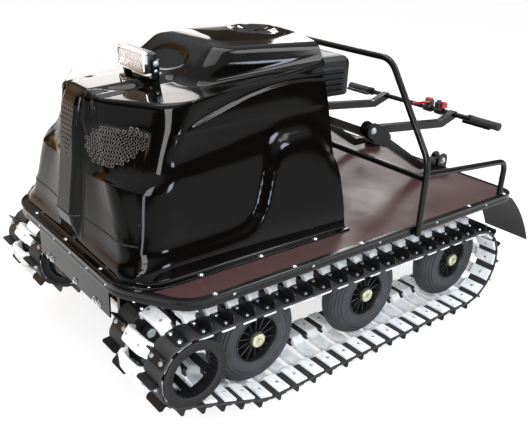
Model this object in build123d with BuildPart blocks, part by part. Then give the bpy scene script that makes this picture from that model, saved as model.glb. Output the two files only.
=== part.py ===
"""Tracked snow tug: two belted tracks, a plywood load deck, a moulded hood and a folding handle.

Millimetres. +Z is up, the nose points along -Y and +X is the tug's left side. The origin is on the
ground, in the middle of the overall box.
"""

import os
from math import acos, atan2, cos, degrees, hypot, radians, sin, tan

from build123d import *

os.makedirs("parts", exist_ok=True)

# Running gear
wheel_pitch = 500.0
middle_wheel_y = 22.0
wheel_centre_x = 421.0
tyre_radius = 165.0
tyre_width = 96.0
tread_width = 80.0
rim_radius = 82.0
rim_width = 84.0
rim_wall = 5.0
hub_radius = 30.0
spoke_count = 8
spoke_width = 6.0
axle_radius = 12.0
axle_stand_out = 9.0

# Track
belt_width = 85.0
belt_gap = 122.0
belt_thickness = 7.0
belt_wrap_radius = 159.0
pad_thickness = 10.0
lug_height = 27.0
lug_base = 15.0
shoe_count = 46
shoe_length = 45.0
shoe_thickness = 10.0
weld = 0.5
shoe_seat = 0.3

# Flats that stand for a full turn: on wheels and drums, and on shafts, tubes and pins
wheel_flats = 24
shaft_flats = 12

# Drive drum
drum_y = -783.0
drum_z = 250.0
drum_belt_radius = 113.0
drum_hole_radius = 74.0
drum_flange = 6.0
drum_bar_count = 6
drum_bar_width = 24.0
drum_bar_thickness = 8.0
drum_web = 8.0
drive_shaft_radius = 15.0

# Load deck
deck_top = 461.0
deck_thickness = 12.0
deck_half_width = 545.0
deck_front_y = -910.0
deck_rear_y = 752.0
deck_front_half = 351.0
deck_corner_y = -782.0
deck_front_bend = 90.0
deck_rear_radius = 66.0
trim_thickness = 3.0
trim_height = 30.0
trim_lip = 27.0

# Chassis
rail_x = 215.0
rail_size = 40.0
beam_height = 50.0
leg_length_y = 50.0
hanger_plate = 16.0
jack_y = -600.0
jack_z = 384.0
chain_x = 255.0
chain_width = 10.0
chain_height = 10.0
sprocket_radius = 64.0
pinion_radius = 30.0
front_plate_thickness = 5.0
front_plate_half = 260.0
front_plate_low = 308.0

# Hood
hood_rear_y = -78.0
hood_wall = 6.0
flange_width = 26.0
flange_thickness = 5.0
shoulder_cut = 44.0
brow_cut = 24.0
dome_cut = 30.0
flat_limit = 0.001

# Engine and its louvred shroud
engine_width = 380.0
engine_front_y = -560.0
engine_rear_y = -120.0
engine_top = 840.0
shroud_half_width = 120.0
shroud_rear_y = 60.0
shroud_low = 790.0
shroud_top = 955.0
shroud_round = 40.0
louvre_count = 6
louvre_pitch = 20.0
louvre_height = 9.0
louvre_depth = 6.0
filler_radius = 24.0
filler_height = 60.0

# Lamp
lamp_y = -640.0
lamp_z = 1008.0
lamp_width = 170.0
lamp_height = 66.0
lamp_depth = 48.0
lamp_straight = 30.0
lamp_taper = 12.0
lamp_corner = 7.0
lens_depth = 12.0
lamp_arm = 8.0
lamp_arm_width = 24.0

# Hoop and cargo rails
tube_radius = 11.0
hoop_y = 140.0
hoop_foot_z = 432.0
hoop_knee_z = 700.0
hoop_top_x = 348.0
hoop_top_z = 1006.0
hoop_knee_bend = 120.0
hoop_top_bend = 60.0
cross_bar_z = 640.0
cargo_rail_inset = 19.0
cargo_rail_z = 600.0
cargo_rail_rear_y = 672.0
cargo_rail_bend = 45.0

# Rear mudflaps
flap_width = 208.0
flap_inset = 7.0
flap_thickness = 5.0
flap_rear_y = 948.0
flap_low_z = 196.0
flap_bulge = 16.0

# Folding handle
arm_x = 190.0
arm_size = 30.0
fold_y = 712.0
fold_z = 503.0
arm_bend_y = 575.0
arm_bend_z = 500.0
elbow_y = 248.0
elbow_z = 703.0
cheek_thickness = 6.0
cheek_radius = 30.0
cheek_gap = 1.0
pin_radius = 8.0
upper_bend_y = 680.0
upper_bend_z = 667.0
bar_y = 762.0
bar_z = 695.0
bar_radius = 11.0
bar_half_width = 420.0
grip_radius = 17.0
grip_length = 130.0
lever_length = 130.0
lever_reach = 42.0
lever_size = 11.0
lever_clamp = 20.0

# Tow hitch
hitch_plate = 12.0
hitch_width = 80.0
hitch_bore = 16.0
hitch_reach = 70.0

axle_z = belt_wrap_radius + lug_height
front_wheel_y = middle_wheel_y - wheel_pitch
rear_wheel_y = middle_wheel_y + wheel_pitch
wheel_rows = (front_wheel_y, middle_wheel_y, rear_wheel_y)
outer_belt_x = wheel_centre_x + belt_gap / 2
inner_belt_x = wheel_centre_x - belt_gap / 2 - belt_width
deck_low = deck_top - deck_thickness
cargo_rail_x = deck_half_width - cargo_rail_inset
flap_outer_x = deck_half_width - flap_inset
flap_inner_x = flap_outer_x - flap_width


def save(piece, name):
    """Label a finished piece and write it."""
    piece.label = name
    export_step(piece, f"parts/{name}.step")


def save_pair(piece, name):
    """Write a left-hand piece and its mirrored right-hand twin."""
    save(piece, f"{name}_left")
    save(mirror(piece, about=Plane.YZ), f"{name}_right")


def draw_round(radius, flats, mode=Mode.ADD, inside=False):
    """Add a round of flats that lie on the circle, or whose corners do where it runs inside another piece."""
    RegularPolygon(radius, flats, major_radius=inside, rotation=180 / flats, mode=mode)


def loop_runs(offset):
    """The track's loop as (line start, line end, arc centre, radius, start angle, sweep) rows.

    The loop runs round the front wheel, the rear wheel and the drum, at an offset from the belt's
    outer face, anticlockwise in the YZ plane.
    """
    circles = (
        (front_wheel_y, axle_z, belt_wrap_radius + offset),
        (rear_wheel_y, axle_z, belt_wrap_radius + offset),
        (drum_y, drum_z, drum_belt_radius + offset),
    )
    normals = []
    for index, (y, z, radius) in enumerate(circles):
        next_y, next_z, next_radius = circles[(index + 1) % 3]
        heading = atan2(next_z - z, next_y - y)
        reach = hypot(next_y - y, next_z - z)
        normals.append(heading - acos((radius - next_radius) / reach))
    rows = []
    for index, (y, z, radius) in enumerate(circles):
        next_y, next_z, next_radius = circles[(index + 1) % 3]
        across = (cos(normals[index]), sin(normals[index]))
        start = (y + radius * across[0], z + radius * across[1])
        end = (next_y + next_radius * across[0], next_z + next_radius * across[1])
        sweep = degrees(normals[(index + 1) % 3] - normals[index]) % 360
        rows.append((start, end, (next_y, next_z), next_radius, degrees(normals[index]), sweep))
    return rows


def shoe_stations():
    """Each shoe's (y, z, direction out of the loop), evenly spaced along the belt's outer face."""
    runs = []
    for start, end, centre, radius, angle, sweep in loop_runs(0):
        line = hypot(end[0] - start[0], end[1] - start[1])
        runs.append((line, radius * radians(sweep), start, end, centre, radius, radians(angle)))
    pitch = sum(run[0] + run[1] for run in runs) / shoe_count
    rows = []
    for index in range(shoe_count):
        along = (index + 0.5) * pitch
        for line, arc, start, end, centre, radius, angle in runs:
            if along < line + arc:
                break
            along -= line + arc
        if along < line:
            share = along / line
            spot = (start[0] + share * (end[0] - start[0]), start[1] + share * (end[1] - start[1]))
            rows.append((*spot, angle))
        else:
            angle += (along - line) / radius
            rows.append((centre[0] + radius * cos(angle), centre[1] + radius * sin(angle), angle))
    return rows


stations = shoe_stations()


def loop_corners(offset):
    """The corners of the loop at an offset from the belt's outer face: straight at each shoe, bent between."""
    corners = []
    for (y, z, angle), (next_y, next_z, next_angle) in zip(stations, stations[1:] + stations[:1]):
        turn = sin(next_angle - angle)
        if abs(turn) < 1e-6:
            continue
        reach = y * cos(angle) + z * sin(angle) + offset
        next_reach = next_y * cos(next_angle) + next_z * sin(next_angle) + offset
        corners.append((
            (reach * sin(next_angle) - next_reach * sin(angle)) / turn,
            (next_reach * cos(angle) - reach * cos(next_angle)) / turn,
        ))
    return corners


# Tracks: each two belts with pads and lugs, joined by shoes from lug to lug that the tyres run on
pad_inner = -belt_thickness - pad_thickness
shoe_inner = tyre_radius + shoe_seat - belt_wrap_radius
with BuildPart() as track:
    for belt_x in (outer_belt_x, inner_belt_x):
        with BuildSketch(Plane.YZ.offset(belt_x)):
            Polygon(*loop_corners(0), align=None)
            for y, z, angle in stations:
                with Locations(Location((y, z), degrees(angle))):
                    Polygon((-weld, -lug_base / 2), (lug_height, lug_base / 2), (-weld, lug_base / 2), align=None)
            Polygon(*loop_corners(pad_inner), align=None, mode=Mode.SUBTRACT)
        extrude(amount=belt_width)
    shoe_planes = [
        Plane(origin=(outer_belt_x, y, z), x_dir=(0, cos(angle), sin(angle)), z_dir=(-1, 0, 0))
        for y, z, angle in stations
    ]
    with BuildSketch(*shoe_planes):
        with Locations((shoe_inner + shoe_thickness / 2, 0)):
            Rectangle(shoe_thickness, shoe_length)
    extrude(amount=belt_gap)
save_pair(track.part, "track")

# Tyres, rims and axles
with BuildPart() as tyres:
    for wheel_y in wheel_rows:
        hub_plane = Plane(origin=(wheel_centre_x, wheel_y, axle_z), x_dir=(0, 1, 0), z_dir=(1, 0, 0))
        with BuildSketch(hub_plane.offset(-tyre_width / 2)):
            draw_round(tyre_radius, wheel_flats, inside=True)
        extrude(amount=tyre_width)
    walls = faces().filter_by(Axis.X)
    chamfer(walls.edges(), (tyre_width - tread_width) / 2)
    with BuildSketch(Plane.YZ.offset(wheel_centre_x - tyre_width / 2)):
        with Locations(*((wheel_y, axle_z) for wheel_y in wheel_rows)):
            draw_round(rim_radius, wheel_flats)
    extrude(amount=tyre_width, mode=Mode.SUBTRACT)
save_pair(tyres.part, "tyres")

window_half = sin(radians(180 / spoke_count))
with BuildPart() as rims:
    for wheel_y in wheel_rows:
        hub_plane = Plane(origin=(wheel_centre_x, wheel_y, axle_z), x_dir=(0, 1, 0), z_dir=(1, 0, 0))
        with BuildSketch(hub_plane.offset(-rim_width / 2)):
            draw_round(rim_radius - shoe_seat, wheel_flats)
            draw_round(axle_radius + shoe_seat, shaft_flats, Mode.SUBTRACT)
            inner_half = hub_radius * window_half - spoke_width / 2
            outer_half = (rim_radius - rim_wall) * window_half - spoke_width / 2
            with PolarLocations(0, spoke_count):
                Polygon(
                    (hub_radius, -inner_half),
                    (rim_radius - rim_wall, -outer_half),
                    (rim_radius - rim_wall, outer_half),
                    (hub_radius, inner_half),
                    align=None,
                    mode=Mode.SUBTRACT,
                )
        extrude(amount=rim_width)
save_pair(rims.part, "rims")

with BuildPart() as axles:
    axle_start = rail_x + rail_size / 2
    axle_end = wheel_centre_x + rim_width / 2 + axle_stand_out
    for start_x in (axle_start, -axle_end):
        with BuildSketch(Plane.YZ.offset(start_x)):
            for wheel_y in wheel_rows:
                with Locations((wheel_y, axle_z)):
                    draw_round(axle_radius, shaft_flats)
        extrude(amount=axle_end - axle_start)
save(axles.part, "wheel_axles")

# Drive drums: two rings joined by bars, the inner ring on a web that sits on the shaft
ring_radius = drum_belt_radius + pad_inner - shoe_seat
flange_radius = drum_belt_radius - belt_thickness
flange_x = outer_belt_x + belt_width + shoe_seat
drum_plane = Plane(origin=(0, drum_y, drum_z), x_dir=(0, 1, 0), z_dir=(1, 0, 0))
bar_circle = (drum_hole_radius + ring_radius) / 2
with BuildPart() as drum:
    for ring_x, ring_end in ((outer_belt_x, flange_x), (inner_belt_x, inner_belt_x + belt_width)):
        with BuildSketch(drum_plane.offset(ring_x)):
            draw_round(ring_radius, wheel_flats, inside=True)
            draw_round(drum_hole_radius, wheel_flats, Mode.SUBTRACT)
        extrude(amount=ring_end - ring_x)
    with BuildSketch(drum_plane.offset(flange_x)):
        draw_round(flange_radius, wheel_flats, inside=True)
        draw_round(drum_hole_radius, wheel_flats, Mode.SUBTRACT)
    extrude(amount=drum_flange)
    with BuildSketch(drum_plane.offset(inner_belt_x + belt_width)):
        with PolarLocations(bar_circle, drum_bar_count):
            Rectangle(drum_bar_thickness, drum_bar_width)
    extrude(amount=belt_gap)
    with BuildSketch(drum_plane.offset(inner_belt_x + belt_width / 2)):
        draw_round(drum_hole_radius + weld, wheel_flats)
        draw_round(drive_shaft_radius + shoe_seat, shaft_flats, Mode.SUBTRACT)
    extrude(amount=drum_web)
save_pair(drum.part, "drive_drum")

with BuildPart() as drive_shaft:
    shaft_end = inner_belt_x + belt_width / 2 + drum_web
    with BuildSketch(drum_plane.offset(-shaft_end)):
        draw_round(drive_shaft_radius, shaft_flats)
    extrude(amount=2 * shaft_end)
save(drive_shaft.part, "drive_shaft")

# Load deck and its steel edging
deck_outline = (
    (-deck_front_half, deck_front_y),
    (deck_front_half, deck_front_y),
    (deck_half_width, deck_corner_y),
    (deck_half_width, deck_rear_y),
    (-deck_half_width, deck_rear_y),
    (-deck_half_width, deck_corner_y),
)


def draw_deck(grow):
    """Add the deck's outline to the open sketch, its corners rounded, grown by a margin."""
    with BuildSketch(mode=Mode.PRIVATE) as outline:
        Polygon(*deck_outline, align=None)
        rear_corners = outline.vertices().group_by(Axis.Y)[-1]
        front_corners = [v for v in outline.vertices() if v not in rear_corners]
        fillet(rear_corners, deck_rear_radius)
        fillet(front_corners, deck_front_bend)
        if grow:
            offset(amount=grow)
    return outline.sketch_local


with BuildPart() as deck:
    with BuildSketch(Plane.XY.offset(deck_low)):
        add(draw_deck(0))
    extrude(amount=deck_thickness)
save(deck.part, "deck_board")

with BuildPart() as trim:
    with BuildSketch(Plane.XY.offset(deck_top - trim_height)):
        add(draw_deck(trim_thickness))
        add(draw_deck(0), mode=Mode.SUBTRACT)
    extrude(amount=trim_height)
    with BuildSketch(Plane.XY.offset(deck_low - trim_thickness)):
        add(draw_deck(trim_thickness / 2))
        add(draw_deck(-trim_lip), mode=Mode.SUBTRACT)
    extrude(amount=trim_thickness)
save(trim.part, "deck_trim")

# Chassis: deck rails and cross members, lower beams on legs that carry the axles, drum hangers
rail_front = deck_front_y + trim_lip + 3
rail_rear = deck_rear_y - trim_lip - 3
rail_low = deck_low - rail_size
beam_front = front_wheel_y - beam_height
beam_rear = rear_wheel_y + beam_height
beam_top = axle_z + beam_height / 2
cross_rows = (
    rail_front + rail_size / 2,
    front_wheel_y,
    middle_wheel_y,
    rear_wheel_y,
    rail_rear - rail_size / 2,
)
with BuildPart() as deck_rails:
    for side in (1, -1):
        with BuildSketch(Plane.XY.offset(rail_low)):
            with Locations((side * rail_x, (rail_front + rail_rear) / 2)):
                Rectangle(rail_size, rail_rear - rail_front)
        extrude(amount=rail_size)
save(deck_rails.part, "deck_rails")

with BuildPart() as cross_members:
    for cross_y in cross_rows:
        with BuildSketch(Plane.XY.offset(rail_low)):
            with Locations((0, cross_y)):
                Rectangle(2 * rail_x - rail_size, rail_size)
        extrude(amount=rail_size)
save(cross_members.part, "cross_members")

with BuildPart() as lower_beams:
    for side in (1, -1):
        with BuildSketch(Plane.YZ.offset(side * rail_x - rail_size / 2)):
            with Locations(((beam_front + beam_rear) / 2, axle_z)):
                Rectangle(beam_rear - beam_front, beam_height)
        extrude(amount=rail_size)
save(lower_beams.part, "lower_beams")

with BuildPart() as legs:
    for side in (1, -1):
        for leg_y in wheel_rows:
            with BuildSketch(Plane.XY.offset(beam_top)):
                with Locations((side * rail_x, leg_y)):
                    Rectangle(rail_size, leg_length_y)
            extrude(amount=rail_low - beam_top)
save(legs.part, "frame_legs")

hanger_low = drum_z - leg_length_y
with BuildPart() as hangers:
    for side in (1, -1):
        with BuildSketch(Plane.YZ.offset(side * rail_x - hanger_plate / 2)) as hanger_face:
            with Locations((drum_y, (hanger_low + rail_low) / 2)):
                Rectangle(2 * leg_length_y, rail_low - hanger_low)
            chamfer(hanger_face.vertices().group_by(Axis.Z)[0], leg_length_y / 2)
            with Locations((drum_y, drum_z)):
                draw_round(drive_shaft_radius + shoe_seat, shaft_flats, Mode.SUBTRACT)
        extrude(amount=hanger_plate)
save(hangers.part, "drum_hangers")

# Chain drive on the right-hand side, from a jackshaft under the deck to the drum's shaft
chain_start = -chain_x - chain_width / 2
chain_heading = atan2(jack_z - drum_z, jack_y - drum_y)
chain_reach = hypot(jack_z - drum_z, jack_y - drum_y)
chain_lean = acos((sprocket_radius - pinion_radius) / chain_reach)
with BuildPart() as chain_drive:
    with BuildSketch(Plane.YZ.offset(chain_start)):
        with Locations((jack_y, jack_z)):
            draw_round(axle_radius, shaft_flats)
    extrude(amount=-2 * chain_start)
    for side in (1, -1):
        with BuildSketch(Plane.YZ.offset(side * rail_x - rail_size / 2)):
            with Locations((jack_y, (rail_low + jack_z - rail_size / 2) / 2)):
                Rectangle(rail_size, rail_low - jack_z + rail_size / 2)
        extrude(amount=rail_size)
    with BuildSketch(Plane.YZ.offset(chain_start)):
        with Locations((jack_y, jack_z)):
            draw_round(pinion_radius, shaft_flats)
        with Locations((drum_y, drum_z)):
            draw_round(sprocket_radius, wheel_flats)
        for turn in (chain_heading + chain_lean, chain_heading - chain_lean):
            across = (cos(turn), sin(turn))
            Polygon(
                (drum_y + sprocket_radius * across[0], drum_z + sprocket_radius * across[1]),
                (jack_y + pinion_radius * across[0], jack_z + pinion_radius * across[1]),
                (
                    jack_y + (pinion_radius - chain_height) * across[0],
                    jack_z + (pinion_radius - chain_height) * across[1],
                ),
                (
                    drum_y + (sprocket_radius - chain_height) * across[0],
                    drum_z + (sprocket_radius - chain_height) * across[1],
                ),
                align=None,
            )
        with Locations((drum_y, drum_z)):
            draw_round(drive_shaft_radius + shoe_seat, shaft_flats, Mode.SUBTRACT)
    extrude(amount=chain_width)
save(chain_drive.part, "chain_drive")

with BuildPart() as front_plate:
    plate_top = deck_low - trim_thickness
    with BuildSketch(Plane.XZ.offset(-rail_front)) as plate_face:
        with Locations((0, (plate_top + front_plate_low) / 2)):
            Rectangle(2 * front_plate_half, plate_top - front_plate_low)
    extrude(amount=front_plate_thickness)
save(front_plate.part, "front_plate")

# Hood: a ruled body from the deck to the shoulder, with a dome on top
hood_levels = (
    # front height, rear height, rear half, side half, side y, brow half, brow y
    (deck_top, deck_top, 415.0, 402.0, -810.0, 330.0, -876.0),
    (545.0, 545.0, 401.0, 396.0, -806.0, 318.0, -872.0),
    (790.0, 790.0, 331.0, 366.0, -768.0, 190.0, -856.0),
    (940.0, 1000.0, 258.0, 338.0, -700.0, 120.0, -836.0),
)
dome_levels = (
    # front height, rear height, rear half, front half, front y
    (930.0, 985.0, 262.0, 240.0, -566.0),
    (1061.0, 1052.0, 216.0, 194.0, -466.0),
    (1092.0, 1082.0, 120.0, 110.0, -400.0),
)
hood_front_y = -876.0
hood_cuts = (0, 0, shoulder_cut, brow_cut, brow_cut, shoulder_cut)
dome_cuts = (0, 0, dome_cut, dome_cut)
kidney_spot = (250.0, -800.0, 860.0)
kidney_depth = 3.5
kidney_run = (176.0, 88.0, 0.0)
kidney_out = (0.425, -0.850, 0.312)
kidney_outline = (
    (-95.0, -25.0),
    (-60.0, -50.0),
    (60.0, -58.0),
    (100.0, -20.0),
    (85.0, 35.0),
    (20.0, 52.0),
    (-70.0, 40.0),
)


def cut_corners(corners, cuts):
    """The closed outline with each corner cut off at its distance along both of its edges."""
    outline = []
    for index, (u, v) in enumerate(corners):
        if not cuts[index]:
            outline.append((u, v))
            continue
        for other_u, other_v in (corners[index - 1], corners[(index + 1) % len(corners)]):
            share = cuts[index] / hypot(other_u - u, other_v - v)
            outline.append((u + share * (other_u - u), v + share * (other_v - v)))
    return outline


def tilted_plane(front_height, rear_height):
    """A plane across the hood that rises from its front to its rear height."""
    slope = atan2(rear_height - front_height, hood_rear_y - hood_front_y)
    return Plane(origin=(0, hood_front_y, front_height), x_dir=(1, 0, 0), z_dir=(0, -sin(slope), cos(slope)))


def folded_solid(rings):
    """A solid through closed rings with as many corners, each twisted panel folded along its outer diagonal."""
    faces = [Face(Wire.make_polygon(rings[0])), Face(Wire.make_polygon(rings[-1]))]
    middle_y = sum(corner.Y for corner in rings[0]) / len(rings[0])
    for low, high in zip(rings, rings[1:]):
        for index, a in enumerate(low):
            following = (index + 1) % len(low)
            b, c, d = low[following], high[following], high[index]
            twist = (b - a).cross(d - a).normalized().dot(c - a)
            rising, falling = (a + c) / 2, (b + d) / 2
            if abs(twist) < flat_limit:
                panels = ((a, b, c, d),)
            elif hypot(rising.X, rising.Y - middle_y) > hypot(falling.X, falling.Y - middle_y):
                panels = ((a, b, c), (a, c, d))
            else:
                panels = ((a, b, d), (b, c, d))
            faces += [Face(Wire.make_polygon(panel)) for panel in panels]
    return Solid(Shell(faces))


def level_ring(plane, corners):
    """The corners of a level, set out in its plane, as points of the model."""
    return [plane.from_local_coords(Vector(u, v)) for u, v in corners]


def hood_volume(inset):
    """The hood's outer form drawn in by an inset, and run out past the deck and the rear when inset."""
    past = 4 * inset
    rear = hood_rear_y - hood_front_y + past
    body_rings = []
    for row, (front, back, rear_half, side_half, side_y, brow_half, brow_y) in enumerate(hood_levels):
        lowered = past if row == 0 else (inset if row == len(hood_levels) - 1 else 0)
        corners = (
            (-rear_half + inset, rear),
            (rear_half - inset, rear),
            (side_half - inset, side_y - hood_front_y + inset / 2),
            (brow_half - inset / 2, brow_y - hood_front_y + inset),
            (-brow_half + inset / 2, brow_y - hood_front_y + inset),
            (-side_half + inset, side_y - hood_front_y + inset / 2),
        )
        body_rings.append(level_ring(tilted_plane(front - lowered, back - lowered), cut_corners(corners, hood_cuts)))
    dome_rings = []
    for front, back, rear_half, front_half, front_y in dome_levels:
        corners = (
            (-rear_half + inset, rear),
            (rear_half - inset, rear),
            (front_half - inset, front_y - hood_front_y + inset),
            (-front_half + inset, front_y - hood_front_y + inset),
        )
        dome_rings.append(level_ring(tilted_plane(front - inset, back - inset), cut_corners(corners, dome_cuts)))
    with BuildPart() as volume:
        add(folded_solid(body_rings))
        add(folded_solid(dome_rings))
    return volume.part


hood_outer = hood_volume(0)
hood_inner = hood_volume(hood_wall)

with BuildPart() as hood:
    add(hood_outer)
    base = hood_levels[0]
    flange_corners = (
        (-base[2] - flange_width, hood_rear_y),
        (base[2] + flange_width, hood_rear_y),
        (base[3] + flange_width, base[4] - flange_width / 2),
        (base[5] + flange_width / 2, base[6] - flange_width),
        (-base[5] - flange_width / 2, base[6] - flange_width),
        (-base[3] - flange_width, base[4] - flange_width / 2),
    )
    with BuildSketch(Plane.XY.offset(deck_top)):
        Polygon(*cut_corners(flange_corners, hood_cuts), align=None)
    extrude(amount=flange_thickness)
    add(hood_inner, mode=Mode.SUBTRACT)
    for side in (1, -1):
        kidney_plane = Plane(
            origin=(side * kidney_spot[0], kidney_spot[1], kidney_spot[2]),
            x_dir=(kidney_run[0], side * kidney_run[1], kidney_run[2]),
            z_dir=(side * kidney_out[0], kidney_out[1], kidney_out[2]),
        )
        with BuildSketch(kidney_plane.offset(-kidney_depth)):
            Polygon(*((side * u, v) for u, v in kidney_outline), align=None)
        extrude(amount=10 * kidney_depth, mode=Mode.SUBTRACT)
save(hood.part, "hood_shell")

# Nose: the raised middle panel on the hood's front, wide below and narrow at the grille
nose_depth = 60.0
nose_back_y = hood_front_y + nose_depth
slot_rows = 9
slot_width = 50.0
slot_height = 6.0
slot_depth = 6.0
slot_low_z = 800.0
slot_pitch = 13.0
nose_low_rows = (
    # height, half width, front y
    (deck_top + flange_thickness + 1, 165.0, -948.0),
    (640.0, 152.0, -938.0),
    (780.0, 138.0, -884.0),
)
nose_high_rows = (
    # height, half width, front y
    (770.0, 86.0, -886.0),
    (880.0, 76.0, -862.0),
    (938.0, 56.0, -842.0),
)
with BuildPart() as nose:
    for rows in (nose_low_rows, nose_high_rows):
        nose_rings = []
        for height, half_width, front_y in rows:
            corners = (
                (-half_width, nose_back_y),
                (half_width, nose_back_y),
                (half_width, front_y),
                (-half_width, front_y),
            )
            nose_rings.append(level_ring(Plane.XY.offset(height), corners))
        add(folded_solid(nose_rings))
    add(hood_outer, mode=Mode.SUBTRACT)
    for row in range(slot_rows):
        slot_z = slot_low_z + row * slot_pitch
        below = [level for level in nose_high_rows if level[0] <= slot_z][-1]
        above = [level for level in nose_high_rows if level[0] > slot_z][0]
        share = (slot_z - below[0]) / (above[0] - below[0])
        slot_y = below[2] + share * (above[2] - below[2])
        slot_x = (below[1] + share * (above[1] - below[1])) / 2
        with Locations((slot_x, slot_y, slot_z), (-slot_x, slot_y, slot_z)):
            Box(slot_width * slot_x / nose_high_rows[0][1] * 2, 2 * slot_depth, slot_height, mode=Mode.SUBTRACT)
save(nose.part, "hood_nose")

# Engine as one block on the deck, its louvred shroud and its fuel filler behind the hood
with BuildPart() as engine:
    with BuildSketch(Plane.XY.offset(deck_top)):
        with Locations((0, (engine_front_y + engine_rear_y) / 2)):
            Rectangle(engine_width, engine_rear_y - engine_front_y)
    extrude(amount=engine_top - deck_top)
save(engine.part, "engine_block")

shroud_front_y = engine_rear_y
with BuildPart() as shroud:
    with BuildSketch(Plane.YZ.offset(-shroud_half_width)) as profile:
        with Locations(((shroud_front_y + shroud_rear_y) / 2, (shroud_low + shroud_top) / 2)):
            Rectangle(shroud_rear_y - shroud_front_y, shroud_top - shroud_low)
        fillet(profile.vertices().group_by(Axis.Z)[-1].sort_by(Axis.Y)[-1], shroud_round)
    extrude(amount=2 * shroud_half_width)
    with BuildSketch(Plane.XY.offset(shroud_top)):
        with Locations((0, (shroud_front_y + shroud_rear_y) / 2)):
            draw_round(filler_radius, shaft_flats)
    extrude(amount=filler_height)
    for row in range(louvre_count):
        louvre_z = shroud_low + (row + 1) * louvre_pitch
        with Locations((0, shroud_rear_y, louvre_z)):
            Box(2 * shroud_half_width - 2 * louvre_pitch, 2 * louvre_depth, louvre_height, mode=Mode.SUBTRACT)
        for side in (1, -1):
            with Locations((side * shroud_half_width, (shroud_front_y + shroud_rear_y) / 2, louvre_z)):
                Box(
                    2 * louvre_depth,
                    shroud_rear_y - shroud_front_y - 3 * louvre_pitch,
                    louvre_height,
                    mode=Mode.SUBTRACT,
                )
save(shroud.part, "engine_shroud")

# Lamp on its bracket
with BuildPart() as lamp_housing:
    with BuildSketch(Plane.XZ.offset(-lamp_y)) as lamp_face:
        with Locations((0, lamp_z)):
            Rectangle(lamp_width, lamp_height)
        chamfer(lamp_face.vertices(), lamp_corner)
    extrude(amount=-lamp_straight)
    extrude(faces().sort_by(Axis.Y)[-1], amount=lamp_depth - lamp_straight, taper=lamp_taper)
save(lamp_housing.part, "lamp_housing")

with BuildPart() as lamp_lens:
    with BuildSketch(Plane.XZ.offset(-lamp_y)) as lens_face:
        with Locations((0, lamp_z)):
            Rectangle(lamp_width, lamp_height)
        chamfer(lens_face.vertices(), lamp_corner)
    extrude(amount=lens_depth)
save(lamp_lens.part, "lamp_lens")

with BuildPart() as lamp_bracket:
    bracket_half = lamp_width / 2 + shoe_seat + lamp_arm
    arm_y = lamp_y + lamp_depth / 2
    bracket_low = lamp_z - lamp_height / 2 - 20
    for side in (1, -1):
        with BuildSketch(Plane.YZ.offset(side * (bracket_half - lamp_arm / 2) - lamp_arm / 2)):
            with Locations((arm_y, (bracket_low + lamp_z + 10) / 2)):
                Rectangle(lamp_arm_width, lamp_z + 10 - bracket_low)
        extrude(amount=lamp_arm)
    with BuildSketch(Plane.XY.offset(bracket_low - 20)):
        with Locations((0, arm_y)):
            Rectangle(2 * bracket_half, lamp_arm_width)
    extrude(amount=20 + lamp_arm)
    add(hood_outer, mode=Mode.SUBTRACT)
save(lamp_bracket.part, "lamp_bracket")


def bend_points(points, radii):
    """The points of a bent tube's centre line, each corner taken in two equal mitres inside its bend."""
    route = [Vector(*points[0])]
    for before, corner, after, radius in zip(points, points[1:], points[2:], radii):
        corner = Vector(*corner)
        back = (Vector(*before) - corner).normalized()
        on = (Vector(*after) - corner).normalized()
        turn = radians(180 - back.get_angle(on))
        reach = radius * tan(turn / 2)
        middle = (back + on).normalized() * (radius / cos(turn / 2) - radius)
        route += [corner + back * reach, corner + middle, corner + on * reach]
    return route + [Vector(*points[-1])]


# Hoop behind the hood, its cross bar and the cargo rails
hoop_foot_x = deck_half_width + trim_thickness + tube_radius + shoe_seat
with BuildPart() as hoop:
    hoop_points = (
        (hoop_foot_x, hoop_y, hoop_foot_z),
        (hoop_foot_x, hoop_y, hoop_knee_z),
        (hoop_top_x, hoop_y, hoop_top_z),
        (-hoop_top_x, hoop_y, hoop_top_z),
        (-hoop_foot_x, hoop_y, hoop_knee_z),
        (-hoop_foot_x, hoop_y, hoop_foot_z),
    )
    with BuildLine():
        Polyline(*bend_points(hoop_points, (hoop_knee_bend, hoop_top_bend, hoop_top_bend, hoop_knee_bend)))
    with BuildSketch(Plane.XY.offset(hoop_foot_z)):
        with Locations((hoop_foot_x, hoop_y)):
            draw_round(tube_radius, shaft_flats)
    sweep(transition=Transition.RIGHT)
save(hoop.part, "hoop")

with BuildPart() as cross_bar:
    with BuildSketch(Plane.YZ.offset(-hoop_foot_x)):
        with Locations((hoop_y, cross_bar_z)):
            draw_round(tube_radius, shaft_flats)
    extrude(amount=2 * hoop_foot_x)
    add(hoop.part, mode=Mode.SUBTRACT)
    for side in (1, -1):
        with Locations((side * hoop_foot_x, hoop_y, cross_bar_z)):
            Box(2 * tube_radius, 4 * tube_radius, 4 * tube_radius, mode=Mode.SUBTRACT)
save(cross_bar.part, "hoop_cross_bar")

with BuildPart() as cargo_rail:
    rail_points = (
        (cargo_rail_x, hoop_y, cross_bar_z),
        (cargo_rail_x, cargo_rail_rear_y, cargo_rail_z),
        (cargo_rail_x, cargo_rail_rear_y, deck_top),
    )
    with BuildLine() as rail_path:
        Polyline(*bend_points(rail_points, (cargo_rail_bend,)))
    with BuildSketch(Plane(rail_path.line @ 0, x_dir=(1, 0, 0), z_dir=rail_path.line % 0)):
        draw_round(tube_radius, shaft_flats)
    sweep(transition=Transition.RIGHT)
    with BuildSketch(Plane.YZ.offset(cargo_rail_x - 2 * tube_radius)):
        with Locations((hoop_y, cross_bar_z)):
            draw_round(tube_radius, shaft_flats)
    extrude(amount=4 * tube_radius, mode=Mode.SUBTRACT)
    with Locations((cargo_rail_x, hoop_y - 2 * tube_radius, cross_bar_z)):
        Box(4 * tube_radius, 4 * tube_radius, 4 * tube_radius, mode=Mode.SUBTRACT)
save_pair(cargo_rail.part, "cargo_rail")

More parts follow.
